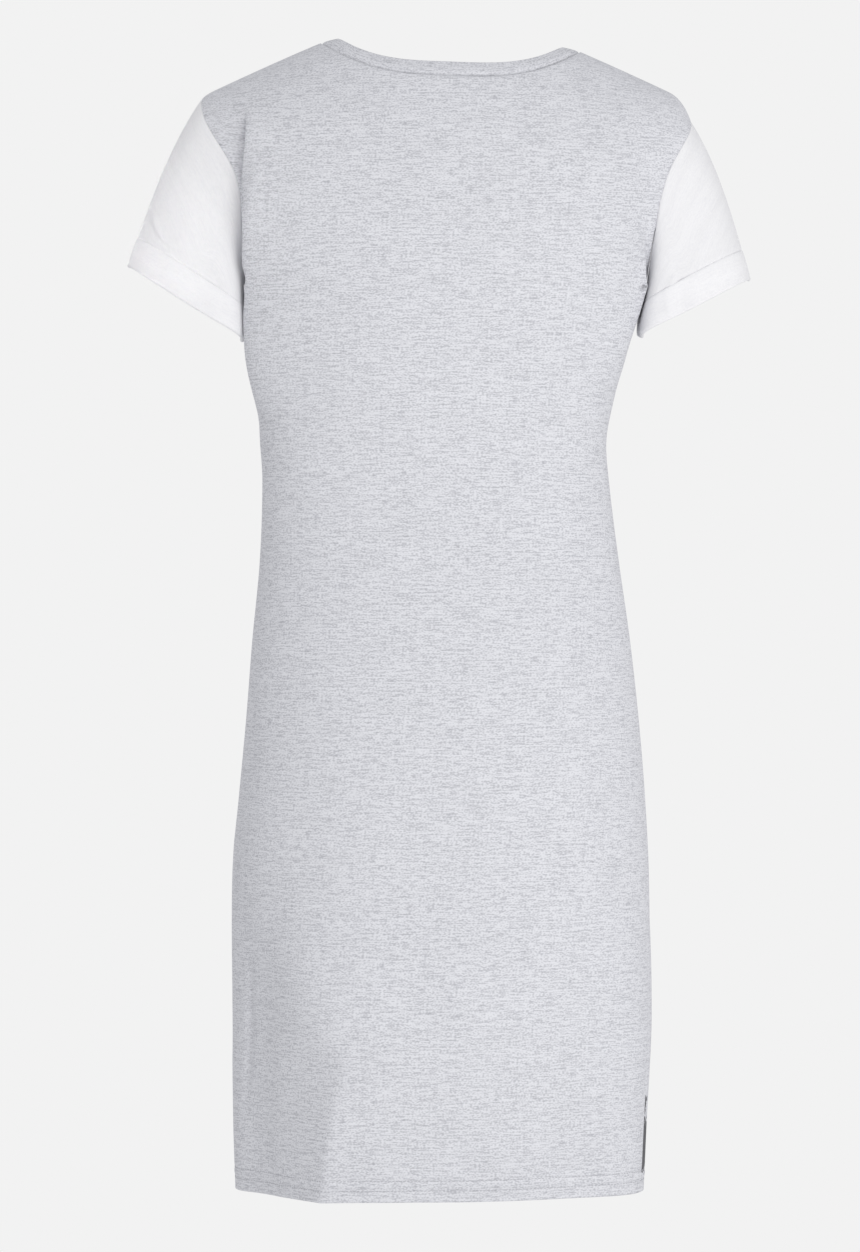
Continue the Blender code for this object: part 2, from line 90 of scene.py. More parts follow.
# Shoulder line: a soft ridge that bends down at its tips
NECK_LEFT_X = 95.7
NECK_RIGHT_X = -112.5
SHOULDER_TIP_LEFT_X = 191.0
SHOULDER_TIP_RIGHT_X = -200.8
SHOULDER_SEAM_Y = -5.0
RIDGE_HEIGHT = 57.0
RIDGE_SLOPE = 0.49
RIDGE_ROUND = 60.0
RIDGE_BEND_X = 180.0
RIDGE_BEND = 0.0017
# Neckline: how far each side dips in the middle, and how boxy the dip is
Scoop = namedtuple("Scoop", "dip power")
SCOOPS = {"back": Scoop(dip=29.0, power=2.9), "front": Scoop(dip=92.0, power=2.4)}
SHOULDER_ROLL = 2.2
# Armhole: how much of the ring it takes at the shoulder, and how round it is
ARMHOLE_SHARE = 0.56
ARMHOLE_POWER = 3.0
# Only the last rows are pulled sideways to the shoulder seam: a high power starts the pull late
TOP_PULL = 8
# The right side seam drifts round to the back by SEAM_DRIFT degrees between these two drops
SEAM_DRIFT_START = 430.0
SEAM_DRIFT_END = 800.0
SEAM_DRIFT = 15.5
print("body levels:", len(LEVELS), "from shoulder to hem")

# %% [markdown]
# Cloth that hangs on a body makes a few large folds. Each row below is one soft ridge (a push over
# 0) or trough: where it starts and ends down the dress, the angle round the ring, how wide its
# flanks are in degrees and how round its crest is. The strongest is the fold that rises from the
# hem at the back left, where the skirt swings in towards the side seam. Above the hem it buckles:
# its crest turns and breaks into an edge.

# %% Large folds
Fold = namedtuple(
    "Fold",
    "top bottom angle_top angle_bottom push before after crest way breaks_at angle_break",
    defaults=(9999, None),
)
FOLDS = (
    Fold(700, 1080, 58, 54.7, 33, 20, 60, 4, "out", breaks_at=801, angle_break=71.5),
    Fold(640, 1080, 31, 31, -13, 17, 17, 8, "out"),
    Fold(30, 190, 52, 27, 9, 10, 26, 3, "sideways"),
    Fold(100, 300, 31, 20, 20.5, 13, 26, 3, "sideways"),
    Fold(80, 270, 147, 158, 11.5, 26, 13, 3, "sideways"),
    Fold(70, 190, 31, 21, -5, 7, 7, 4, "out"),
    Fold(560, 1060, 128, 132, -4, 14, 16, 6, "out"),
    Fold(700, 1080, 148, 146, 4, 12, 14, 5, "out"),
    Fold(330, 640, 150, 140, -3, 14, 14, 6, "out"),
    Fold(250, 1060, 238, 232, -7, 15, 18, 6, "out"),
    Fold(330, 1080, 262, 266, 6, 16, 18, 6, "out"),
    Fold(260, 1060, 296, 302, -7, 18, 15, 6, "out"),
    Fold(80, 260, 222, 212, 5, 12, 12, 5, "out"),
    Fold(80, 260, 318, 328, 5, 12, 12, 5, "out"),
)
# Folds fade over FOLD_FADE of drop by the armholes, inside FOLD_EDGE of the panel's width
FOLD_EDGE = 0.14
FOLD_FADE = 60.0
# FOLD_ENDS under 1 keeps a fold strong up to its ends, and FLANK_POWER over 1 rounds its flanks
FOLD_ENDS = 0.7
FLANK_POWER = 1.5
# A fold breaks from BREAK_ABOVE to BREAK_BELOW its breaking point, and loses this much roundness
BREAK_ABOVE, BREAK_BELOW = 25, 15
BREAK_CREST, BREAK_FLANK = 0.92, 0.45
print("large folds:", len(FOLDS))

# %% [markdown]
# Smaller creases are placed one by one, each along a line that may bow: a ridge or a trough with
# one flank width on each side, so a crease can be sharp on one side and soft on the other. The tuck by
# the left armhole is the sharpest. A power under 2 gives the crest an edge, as on the fold that
# breaks at the hem. The far side gets similar ones, uneven in the same way.

# %% Creases
Crease = namedtuple(
    "Crease", "piece side x_top drop_top x_bottom drop_bottom bow left right push power", defaults=(2.0,)
)
CREASES = (
    # The tuck by the left armhole: its lip stands out towards the middle of the back
    Crease("back", "back", 151.9, 54, 156.2, 160, 0, 1.2, 16, 3.0),
    Crease("back", "back", 154.5, 56, 158.8, 160, 0, 10, 1.5, -3.6),
    Crease("back", "back", 154.2, 62, 158.5, 164, 0, 1.6, 1.2, -6.0),
    Crease("back", "back", 168, 40, 160, 110, -3, 7, 7, -1.2),
    # The soft hollow along the right armhole seam
    Crease("back", "back", -172, 74, -156, 236, 3, 15, 6, -4.2),
    # The fold that breaks above the hem, and the edge of the side fold beside it
    Crease("back", "back", 76.5, 796, 99, 960, 0, 24, 12, 3.0, 1.0),
    Crease("back", "back", 151, 716, 156, 860, -2, 2.4, 3.4, -2.4),
    # Faint drags over the back, the waist and the hips
    Crease("back", "back", 96, 44, 30, 120, 8, 22, 22, -0.8),
    Crease("back", "back", -120, 60, -70, 130, -6, 24, 20, -0.8),
    Crease("back", "back", 118, 250, 60, 322, 10, 16, 20, -1.0),
    Crease("back", "back", -122, 262, -66, 330, -8, 18, 16, -1.0),
    Crease("back", "back", 124, 330, 70, 372, 8, 12, 14, 0.8),
    Crease("back", "back", -112, 352, -58, 392, -6, 12, 16, 0.8),
    Crease("back", "back", 118, 470, 108, 700, 6, 20, 26, -1.4),
    Crease("back", "back", 122, 760, 128, 930, 3, 10, 12, 1.2),
    Crease("back", "back", -96, 640, -100, 930, 4, 22, 22, -1.0),
    Crease("back", "back", -20, 720, -32, 930, 4, 26, 26, 0.9),
    # The front, which the photograph hides, hangs in the same loose way
    Crease("front", "front", 120, 220, 40, 320, -12, 20, 16, -1.4),
    Crease("front", "front", -124, 215, -50, 330, 12, 16, 20, -1.4),
    Crease("front", "front", 60, 330, 84, 600, 6, 22, 20, 1.2),
    Crease("front", "front", -70, 380, -92, 720, -6, 20, 24, 1.2),
    Crease("front", "front", 10, 560, 4, 930, 5, 24, 24, -1.4),
    Crease("front", "front", -120, 700, -116, 930, 3, 14, 16, 1.4),
    Crease("front", "front", 112, 720, 120, 930, -3, 16, 14, 1.4),
    # Sleeves: a curved press mark on the left, drags above the right cuff, and the hidden front
    Crease("sleeve_left", "back", 229, 128, 208, 168, 6, 2.2, 2.2, 1.6),
    Crease("sleeve_left", "back", 233, 130, 212, 171, 6, 3.5, 4, -1.5),
    Crease("sleeve_left", "back", 186, 78, 176, 168, -4, 12, 12, -1.2),
    Crease("sleeve_left", "back", 214, 120, 196, 196, 4, 14, 14, 1.0),
    Crease("sleeve_left", "front", 222, 96, 190, 190, -6, 9, 9, -1.4),
    Crease("sleeve_left", "front", 196, 70, 172, 180, -4, 10, 10, 1.2),
    Crease("sleeve_right", "back", -184, 178, -210, 212, 4, 3, 4, -1.3),
    Crease("sleeve_right", "back", -181, 190, -200, 214, 3, 2.5, 3.5, 1.1),
    Crease("sleeve_right", "back", -176, 196, -186, 224, 2, 4, 4, -1.1),
    Crease("sleeve_right", "back", -206, 100, -196, 190, 4, 12, 14, -1.0),
    Crease("cuff_right", "back", -196, 190, -204, 222, 0, 3, 4, 0.7),
    Crease("cuff_right", "back", -188, 196, -193, 226, 0, 3, 3, -0.6),
    Crease("cuff_right", "back", -178, 200, -184, 232, 0, 4, 4, 0.7),
    Crease("cuff_left", "back", 196, 186, 190, 224, 0, 6, 6, 0.5),
    Crease("sleeve_right", "front", -222, 104, -188, 200, 6, 9, 9, -1.4),
    Crease("sleeve_right", "front", -200, 80, -176, 190, 4, 10, 10, 1.2),
)
# A crease tapers at its ends, and fades where the cloth turns away from the side it lies on
CREASE_ENDS = 0.8
CREASE_TURN = 0.35
print("creases placed by hand:", len(CREASES))

# %% [markdown]
# A short sleeve is a tube that starts on the armhole seam and ends on a slanted ring. That ring is
# boxy, more so beside the body, where the back corner also leans in. Its cuff is the sleeve's own
# cloth turned up once on the outside, and the sleeve sinks a little where the cuff lies over it. All
# of this could be modelled by hand, but named sizes keep left and right alike and easy to change.

# %% Sizes of sleeves, cuffs and neckband
SleeveEnd = namedtuple("SleeveEnd", "inner_x inner_drop outer_x outer_drop")
SLEEVE_ENDS = {
    "left": SleeveEnd(157.0, 236.0, 249.0, 176.0),
    "right": SleeveEnd(-160.0, 232.5, -247.5, 186.5),
}
SLEEVE_HALF_DEPTH = 54.0
SLEEVE_CENTRE_Y = -4.0
# The lines lift off over the cap, flare out under the arm and droop or arrive square at the end
CAP_LIFT_OUT = 22.0
CAP_LIFT_UP = 18.0
CAP_DROOP = 12.0
UNDERARM_FLARE = {"left": 20.0, "right": 5.0}
END_SQUARE = 0.3
# The end's ring: how boxy each half is, how far its back corner leans in and its front rises
END_BOXY_OUTSIDE = 2.6
END_BOXY_INSIDE = 4.2
INSIDE_LEAN = {"left": 4.0, "right": 3.5}
FRONT_RISE = 6.0
# Cuff: its height, the gap under it, its wall and how far the sleeve sinks beneath it
CUFF_HEIGHT = 22.0
CUFF_STAND_OFF = 0.25
CUFF_THICKNESS = 1.6
CUFF_SINK = 1.5
# Neckband: its height, and its slope in degrees over the shoulders, at the back and at the front
BAND_WIDTH = 14.0
BAND_LEAN_SIDE = 10.0
BAND_LEAN_BACK = 53.0
BAND_LEAN_FRONT = 62.0
print("cuffs:", CUFF_HEIGHT, "mm high, neckband:", BAND_WIDTH, "mm wide")

# %% [markdown]
# Single jersey is just under a millimetre thick. It is drawn at one, and at two where it is doubled.
# A sewn edge rolls under, so that a seam shows as a soft groove, and furthest at the neckband.
# The grids need points close together only where the cloth bends sharply: by the seams, the hem and
# the tuck. Even spacing would need several times as many.

# %% Cloth, seams and spacing of the grids
JERSEY = 1.0
DOUBLED = 2.0
SEAM_GAP = 0.12
SEAM_ROLL = 0.4
SEAM_ROLL_WIDTH = 1.1
NECK_ROLL = 2.6
THINNEST = 0.25
ROLL_THINS = 0.6
EDGE_ROUND = 0.35
# Creases fade out over CREASE_CLEAR beside a seam, and the hem's stitches run at two heights
CREASE_CLEAR = 9.0
STITCH_ROWS = (9.5, 17.0)

# Points: columns and rows of the grids, closer together where SEAM_ or TUCK_ says so
SHOULDER_COLUMNS = 40
NECK_COLUMNS = 84
TUCK_COLUMNS = 24
ARMHOLE_ROWS = 84
TUCK_ROWS = (26, 60)
BODY_ROWS = 96
HEM_ROW_STEP, PAST_HEM = 1.0, 6
SEAM_COLUMNS = np.array([0.0, 0.25, 0.6])
SLEEVE_ROWS = 64
SEAM_SPOTS = (0.0, 0.004, 0.009)
LENGTH_STEPS = 24
CUFF_STEPS = 10
TIP_SPACING = 1.35
COLUMNS = 2 * SHOULDER_COLUMNS + NECK_COLUMNS
ARMHOLE_STEPS = np.sort(np.r_[0 : ARMHOLE_ROWS + 1, TUCK_ROWS[0] + 0.5 : TUCK_ROWS[1] + 0.5])
ARMHOLE_TURNS = math.pi * ARMHOLE_STEPS / ARMHOLE_ROWS
print("grid of one panel:", COLUMNS, "columns by", ARMHOLE_ROWS + BODY_ROWS, "rows and more at the tuck")

# %% [markdown]
# Two small tools read the tables: a smooth curve through the levels, and an easing from 0 to 1.
# NumPy works on whole rows of points at once, which keeps a fine grid quick.

# %% Curves through the tables
DROPS = np.array([row.drop for row in LEVELS], float)


def smooth(column, drop):
    """One column of LEVELS read at any drop, along a smooth curve through the rows."""
    values = np.array([getattr(row, column) for row in LEVELS], float)
    last = len(DROPS) - 1
    low = np.maximum(np.arange(last + 1) - 1, 0)
    high = np.minimum(np.arange(last + 1) + 1, last)
    slopes = (values[high] - values[low]) / (DROPS[high] - DROPS[low])
    drop = np.asarray(drop, float)
    k = np.clip(np.searchsorted(DROPS, drop, side="right") - 1, 0, last - 1)
    span = DROPS[k + 1] - DROPS[k]
    s = np.clip((drop - DROPS[k]) / span, 0.0, 1.0)
    return (
        (2 * s**3 - 3 * s**2 + 1) * values[k]
        + (s**3 - 2 * s**2 + s) * span * slopes[k]
        + (3 * s**2 - 2 * s**3) * values[k + 1]
        + (s**3 - s**2) * span * slopes[k + 1]
    )


def ease(a, b, x):
    """0 before a, 1 after b, and a smooth rise between them."""
    s = np.clip((np.asarray(x, float) - a) / (b - a), 0.0, 1.0)
    return s * s * (3 - 2 * s)


def rounded(value):
    """A sine or cosine squared off to the ring's shape, with its sign kept."""
    return np.copysign(np.abs(value) ** (2 / SQUARENESS), value)


print("half width at the waist: %.0f mm" % smooth("left", 348))

# %% [markdown]
# The two body panels share one form. Below the underarm it is a rounded ring. Above, it closes over
# the shoulders like a dome, and each panel's top edge runs along a shoulder seam, round its half of
# the neckline and along the other shoulder seam.

# %% The form of the panels


def middle_and_half(drop):
    left, right = smooth("left", drop), smooth("right", drop)
    return (left - right) / 2, (left + right) / 2


def ridge_height(x):
    """The shoulder line seen from the back, carried on over the neck. It bends down at its ends."""
    beyond = np.maximum(0.0, np.abs(x) - RIDGE_BEND_X)
    return RIDGE_HEIGHT - RIDGE_SLOPE * np.hypot(x, RIDGE_ROUND) - RIDGE_BEND * beyond**3


def dome_depth(panel, x, z):
    """How far the panel lies behind (over 0) or before the middle, above the underarm."""
    middle, half = middle_and_half(-z)
    across = np.minimum(1.0, np.abs(x - middle) / half)
    ring = smooth(panel, -z) * (1 - across**SQUARENESS) ** (1 / SQUARENESS)
    outward = 1 if panel == "back" else -1
    rise = np.clip((z + UNDERARM_DROP) / (ridge_height(x) + UNDERARM_DROP), 0.0, 1.0)
    return SHOULDER_SEAM_Y + (outward * ring - SHOULDER_SEAM_Y) * np.sqrt(1 - rise**SHOULDER_ROLL)


def neckline(panel, turn):
    """Points on the neckline seam; turn runs from 0 at the left shoulder to pi at the right."""
    scoop = SCOOPS[panel]
    centre, half = (NECK_LEFT_X + NECK_RIGHT_X) / 2, (NECK_LEFT_X - NECK_RIGHT_X) / 2
    across = np.cos(turn)
    ends = ridge_height(NECK_LEFT_X), ridge_height(NECK_RIGHT_X)
    level = (ends[0] + ends[1]) / 2 + across * (ends[0] - ends[1]) / 2
    x, z = centre + half * across, level - scoop.dip * (1 - np.abs(across) ** scoop.power)
    return np.stack([x, dome_depth(panel, x, z), z], axis=-1)


def top_edge(panel, column):
    """The panel's top edge at each column: shoulder seam, neckline, shoulder seam."""
    from_left = column if panel == "back" else COLUMNS - column
    left_share = 1 - np.clip(from_left / SHOULDER_COLUMNS, 0, 1) ** TIP_SPACING
    right_share = 1 - np.clip((COLUMNS - from_left) / SHOULDER_COLUMNS, 0, 1) ** TIP_SPACING
    left_x = NECK_LEFT_X + (SHOULDER_TIP_LEFT_X - NECK_LEFT_X) * left_share
    right_x = NECK_RIGHT_X + (SHOULDER_TIP_RIGHT_X - NECK_RIGHT_X) * right_share
    turn = math.pi * np.clip((from_left - SHOULDER_COLUMNS) / NECK_COLUMNS, 0, 1)
    points = neckline(panel, turn)
    for mask, x in (
        (from_left < SHOULDER_COLUMNS, left_x),
        (from_left > SHOULDER_COLUMNS + NECK_COLUMNS, right_x),
    ):
        seam = np.stack([x, np.full_like(x, SHOULDER_SEAM_Y), ridge_height(x)], axis=-1)
        points[mask] = seam[mask]
    return points


def body_row(panel, share, drop):
    """A row of points of the ring below the underarm, and their angles."""
    right_seam = math.pi - math.radians(SEAM_DRIFT) * float(ease(SEAM_DRIFT_START, SEAM_DRIFT_END, drop))
    start, end = (0.0, right_seam) if panel == "back" else (right_seam, 2 * math.pi)
    angle = start + (end - start) * share
    middle, half = middle_and_half(drop)
    side = np.where(np.sin(angle) >= 0, smooth("back", drop), smooth("front", drop))
    y = side * rounded(np.sin(angle))
    return np.stack([middle + half * rounded(np.cos(angle)), y, np.full_like(y, -drop)], axis=-1), angle


def yoke_row(panel, share, top, rise):
    """A row of points above the underarm, and their angles. rise is 0 there and 1 on the top edge."""
    z = -UNDERARM_DROP + rise * (top[:, 2] + UNDERARM_DROP)
    opened = ARMHOLE_SHARE * math.sqrt(1 - (1 - rise) ** ARMHOLE_POWER)
    opening = math.asin(opened ** (SQUARENESS / 2))
    start = 0.0 if panel == "back" else math.pi
    angle = start + opening + share * (math.pi - 2 * opening)
    left_edge = -UNDERARM_DROP + rise * (ridge_height(SHOULDER_TIP_LEFT_X) + UNDERARM_DROP)
    right_edge = -UNDERARM_DROP + rise * (ridge_height(SHOULDER_TIP_RIGHT_X) + UNDERARM_DROP)
    left, right = smooth("left", -left_edge), -smooth("right", -right_edge)
    middle, half = (left + right) / 2, (left - right) / 2
    tip_middle = (SHOULDER_TIP_LEFT_X + SHOULDER_TIP_RIGHT_X) / 2
    tip_half = (SHOULDER_TIP_LEFT_X - SHOULDER_TIP_RIGHT_X) / 2
    level = float(ease(0.0, 1.0, rise))
    along_ring = (1 - level) * rounded(np.cos(angle))
    across = along_ring + level * rounded(math.cos(opening)) * ((top[:, 0] - tip_middle) / tip_half)
    x = middle + half * across
    x = x + (top[:, 0] - x) * rise**TOP_PULL
    if rise >= 1:
        return top.copy(), angle
    if rise <= 0:
        return body_row(panel, share, UNDERARM_DROP)[0], angle
    return np.stack([x, dome_depth(panel, x, z), z], axis=-1), angle


print("high shoulder point: %.1f mm above the origin" % ridge_height(NECK_LEFT_X))

# %% [markdown]
# A hanging fold leaves the hem level, so the folds push the cloth level and never up or down. Where
# a fold breaks, its crest and one flank tighten into an edge. A cloth simulation could make folds
# too, but not these ones in these places.

# %% Push of the large folds


def fold_push(angle, drop):
    """How the large folds move the cloth, level, at each angle and drop."""
    flat = np.stack([FLATNESS * np.cos(angle), np.sin(angle), np.zeros_like(angle)], axis=-1)
    out = flat / np.linalg.norm(flat, axis=-1, keepdims=True)
    sideways = np.zeros_like(out)
    sideways[..., 0] = np.copysign(1.0, np.cos(angle))
    total = np.zeros_like(out)
    for fold in FOLDS:
        along = np.clip((drop - fold.top) / (fold.bottom - fold.top), 0.0, 1.0)
        places, turns = (fold.top, fold.bottom), (fold.angle_top, fold.angle_bottom)
        if fold.angle_break is not None:
            places = (fold.top, fold.breaks_at, fold.bottom)
            turns = (fold.angle_top, fold.angle_break, fold.angle_bottom)
        off = (np.degrees(angle) - np.interp(drop, places, turns) + 180) % 360 - 180
        flank = np.where(off < 0, fold.before, fold.after)
        edged = ease(fold.breaks_at - BREAK_ABOVE, fold.breaks_at + BREAK_BELOW, drop)
        crest = fold.crest * (1 - BREAK_CREST * edged)
        softened = np.hypot(off, crest) - crest
        power = np.where(off < 0, FLANK_POWER - BREAK_FLANK * edged, FLANK_POWER)
        push = fold.push * np.sin(math.pi * along) ** FOLD_ENDS * np.exp(-((softened / flank) ** power))
        total += (out if fold.way == "out" else sideways) * push[..., None]
    return total


hem_push = np.linalg.norm(fold_push(np.radians(FOLDS[0].angle_bottom), HEM_DROP))
print("push of the strongest fold at the hem: %.1f mm" % hem_push)

# %% [markdown]
# The rows stand close together at the hem, where two lines of stitching dent the cloth, and near
# every seam. The folds fade out beside the armholes, so that the sleeves meet the body cleanly, and
# the small creases fade out before any seam.

# %% Rows and columns of a panel
TOP_FADE_ROWS = 18


def panel_columns(panel):
    """Column numbers, with more just inside each side edge and by the wearer's left armhole."""
    inner = np.arange(1, COLUMNS, dtype=float)
    tuck = np.arange(1.5, TUCK_COLUMNS)
    inner = np.sort(np.concatenate([inner, tuck if panel == "back" else COLUMNS - tuck]))
    return np.concatenate([SEAM_COLUMNS, inner, COLUMNS - SEAM_COLUMNS[::-1]])


def panel_heights():
    """Rows from the hem up: ('body', drop), then ('yoke', rise)."""
    hem = [HEM_DROP - step for step in np.arange(0, HEM_ALLOWANCE + PAST_HEM, HEM_ROW_STEP)]
    step = (hem[-1] - UNDERARM_DROP) / BODY_ROWS
    drops = hem + [hem[-1] - step * k for k in range(1, BODY_ROWS)]
    rises = [(1 - math.cos(turn)) / 2 for turn in ARMHOLE_TURNS]
    return [("body", drop) for drop in drops] + [("yoke", rise) for rise in rises]


def seam_clearance(points):
    """Distance in mm of each point of a panel to the nearest point of its two side edges."""
    nearest = np.empty(points.shape[:2])
    edges = np.concatenate([points[:, 0], points[:, -1]])
    for r, row in enumerate(points):
        nearest[r] = np.linalg.norm(row[:, None] - edges[None], axis=-1).min(axis=1)
    return nearest


def panel_grid(panel):
    """Outer points of a panel in rows from hem to top edge, and a mask that fades creases at seams."""
    columns = panel_columns(panel)
    share = columns / COLUMNS
    top = top_edge(panel, columns)
    heights = panel_heights()
    rows = [
        body_row(panel, share, height) if kind == "body" else yoke_row(panel, share, top, height)
        for kind, height in heights
    ]
    points = np.array([row[0] for row in rows])
    angles = np.array([row[1] for row in rows])
    drops = -points[..., 2]
    held = ease(UNDERARM_DROP + FOLD_FADE, UNDERARM_DROP, drops)
    edge = ease(0, FOLD_EDGE, np.minimum(share, 1 - share))[None, :]
    near_top = np.minimum(1.0, np.arange(len(rows))[::-1] / TOP_FADE_ROWS)[:, None]
    points = points + fold_push(angles, drops) * ((1 - held * (1 - edge)) * near_top)[..., None]
    fade = ease(0.0, CREASE_CLEAR, seam_clearance(points)) * near_top
    return points, fade


print("rows from hem to shoulder:", len(panel_heights()))

# %% [markdown]
# A crease lifts or sinks the cloth along its normal, the direction it faces, and a panel's creases
# only touch the side that they were placed on. The normals come from each point's neighbours.

# %% Normals and creases


def unit(vectors):
    return vectors / np.maximum(np.linalg.norm(vectors, axis=-1, keepdims=True), 1e-9)


def grid_normals(points, closed):
    """A normal at each point of a grid of rows; closed joins each row's end to its start."""
    if closed:
        across = np.roll(points, -1, axis=1) - np.roll(points, 1, axis=1)
    else:
        across = np.empty_like(points)
        across[:, 1:-1] = points[:, 2:] - points[:, :-2]
        across[:, 0] = points[:, 1] - points[:, 0]
        across[:, -1] = points[:, -1] - points[:, -2]
    along = np.empty_like(points)
    along[1:-1] = points[2:] - points[:-2]
    along[0] = points[1] - points[0]
    along[-1] = points[-1] - points[-2]
    return unit(np.cross(across, along))


def crease_height(piece, points, normals):
    """How far the small creases lift (over 0) or sink each point of a piece."""
    total = np.zeros(points.shape[:-1])
    for crease in CREASES:
        if crease.piece != piece:
            continue
        facing = normals[..., 1] if crease.side == "back" else -normals[..., 1]
        start = np.array([crease.x_top, -crease.drop_top], float)
        chord = np.array([crease.x_bottom, -crease.drop_bottom], float) - start
        length = np.linalg.norm(chord)
        flat = points[..., [0, 2]] - start
        along = np.clip(flat @ chord / length**2, 0.0, 1.0)
        off = (flat[..., 0] * -chord[1] + flat[..., 1] * chord[0]) / length
        off = off - crease.bow * 4 * along * (1 - along)
        flank = np.where(off > 0, crease.left, crease.right)
        profile = np.exp(-(np.abs(off / flank) ** crease.power)) * np.sin(math.pi * along) ** CREASE_ENDS
        total += crease.push * profile * ease(0.0, CREASE_TURN, facing)
    return total


print("creases on the back:", sum(crease.piece == "back" for crease in CREASES))

# %% [markdown]
# Both panels come from the same rule, a grid of points pushed by folds and then by creases, so one
# loop makes them. Subdivision and sculpting could give such a surface, but not as a part that
# changes when a size does.

# %% Build the two panels as grids
panels = {}
for panel in ("back", "front"):
    points, fade = panel_grid(panel)
    normals = grid_normals(points, False)
    points = points + normals * (crease_height(panel, points, normals) * fade)[..., None]
    panels[panel] = points
    print(panel, "grid:", points.shape[0], "rows by", points.shape[1], "columns")

# %% [markdown]
# A sleeve is drawn as lines that leave the armhole seam and end on the cuff's ring. The lines on
# top lift off first, as a sleeve cap does, and those underneath flare out to clear the body. A
# straight loft from seam to ring would look like a funnel, so each line has a direction at each end.

# %% Lines down a sleeve


def armhole_ring(side):
    """The armhole from the underarm up the back edge to the shoulder tip and down the front edge."""
    first = len(panel_heights()) - len(ARMHOLE_STEPS)
    back_column, front_column = (0, -1) if side == "left" else (-1, 0)
    back = panels["back"][first:, back_column]
    front = panels["front"][first:, front_column]
    return np.concatenate([back, front[-2:0:-1]])


def sleeve_lines(side):
    """Starts, leaving tangents, ends and arriving tangents of the lines down a sleeve."""
    end = SLEEVE_ENDS[side]
    start = armhole_ring(side)
    turn = np.concatenate([ARMHOLE_TURNS, 2 * math.pi - ARMHOLE_TURNS[-2:0:-1]])[:, None]
    inner = np.array([end.inner_x, SLEEVE_CENTRE_Y, -end.inner_drop])
    outer = np.array([end.outer_x, SLEEVE_CENTRE_Y, -end.outer_drop])
    outward = 1 if side == "left" else -1
    centre, half = (inner + outer) / 2, (outer - inner) / 2
    across = half / np.linalg.norm(half)
    axis = np.array([across[2] * outward, 0, -across[0] * outward])
    axis = axis if axis[2] < 0 else -axis
    boxy = 2 / np.where(np.cos(turn) > 0, END_BOXY_INSIDE, END_BOXY_OUTSIDE)
    finish = centre - half * np.copysign(np.abs(np.cos(turn)) ** boxy, np.cos(turn))
    back_to_front = np.copysign(np.abs(np.sin(turn)) ** boxy, np.sin(turn))
    finish = finish + np.array([0, SLEEVE_HALF_DEPTH, 0]) * back_to_front
    finish = finish - axis * FRONT_RISE * np.maximum(0.0, -back_to_front)
    back_corner = 2 * np.maximum(0.0, np.cos(turn)) * np.maximum(0.0, np.sin(turn))
    finish = finish - np.array([outward * INSIDE_LEAN[side], 0, 0]) * back_corner
    length = np.linalg.norm(finish - start, axis=1, keepdims=True)
    on_top = np.maximum(0.0, -np.cos(turn)) ** 2
    beneath = np.maximum(0.0, np.cos(turn)) ** 2
    leave = finish - start + np.array([outward * CAP_LIFT_OUT, 0, CAP_LIFT_UP]) * on_top
    leave = leave + np.array([outward * UNDERARM_FLARE[side], 0, 0]) * beneath
    square = END_SQUARE * (1 - on_top)
    arrive = axis * length * square + (finish - start) * (1 - square)
    arrive = arrive - np.array([outward * CAP_DROOP, 0, 0]) * on_top
    return start, leave, finish, arrive


def along_lines(lines, s):
    """Points of all the sleeve lines, from the armhole (0) to the sleeve's end (1)."""
    start, leave, finish, arrive = lines
    s = np.asarray(s, float)
    if s.ndim:
        s = s[:, None]
    return (
        start * (2 * s**3 - 3 * s**2 + 1)
        + leave * (s**3 - 2 * s**2 + s)
        + finish * (3 * s**2 - 2 * s**3)
        + arrive * (s**3 - s**2)
    )


def line_lengths(lines):
    rows = [along_lines(lines, step / LENGTH_STEPS) for step in range(LENGTH_STEPS + 1)]
    return np.linalg.norm(np.diff(np.array(rows), axis=0), axis=-1).sum(axis=0)


def sleeve_spots():
    """Places down a sleeve line, closer together at the seam."""
    even = np.arange(SLEEVE_ROWS + 1) / SLEEVE_ROWS
    return np.concatenate([SEAM_SPOTS, even[1:]])


def faced(rows, side):
    """The lines in the order that makes normals point outwards."""
    return rows if side == "left" else np.concatenate([rows[:, :1], rows[:, :0:-1]], axis=1)


lines_of = {side: sleeve_lines(side) for side in ("left", "right")}
print("sleeve lines on each side:", len(lines_of["left"][0]))

# %% [markdown]
# The lines are read at closely spaced places, which gives the sleeve's grid. Its creases stay clear
# of both ends, and its last centimetres sink to make room for the cuff.

# %% Build the sleeves as grids
CALM_START, CALM_END = 0.06, 0.9
SINK_ABOVE, SINK_BELOW = 1.0, 1.5
sleeves = {}
for side, lines in lines_of.items():
    spots = sleeve_spots()
    grid = faced(np.array([along_lines(lines, s) for s in spots]), side)
    from_end = faced((1 - spots)[:, None] * line_lengths(lines)[None, :], side)
    normals = grid_normals(grid, True)
    calm = np.minimum(1.0, spots / CALM_START) * ease(1.0, CALM_END, spots)
    lift = crease_height("sleeve_" + side, grid, normals) * calm[:, None]
    lift = lift - CUFF_SINK * ease(CUFF_HEIGHT + SINK_ABOVE, CUFF_HEIGHT - SINK_BELOW, from_end)
    sleeves[side] = grid + normals * lift[..., None]
    lengths = line_lengths(lines)
    print("sleeve", side, "line length: %.0f to %.0f mm" % (lengths.min(), lengths.max()))

# %% [markdown]
# The neckband is a doubled strip of the body cloth. It stands up from the neckline seam and leans
# in towards the neck, a little steeper at the front and back than over the shoulders.

# %% Build the neckband as a grid


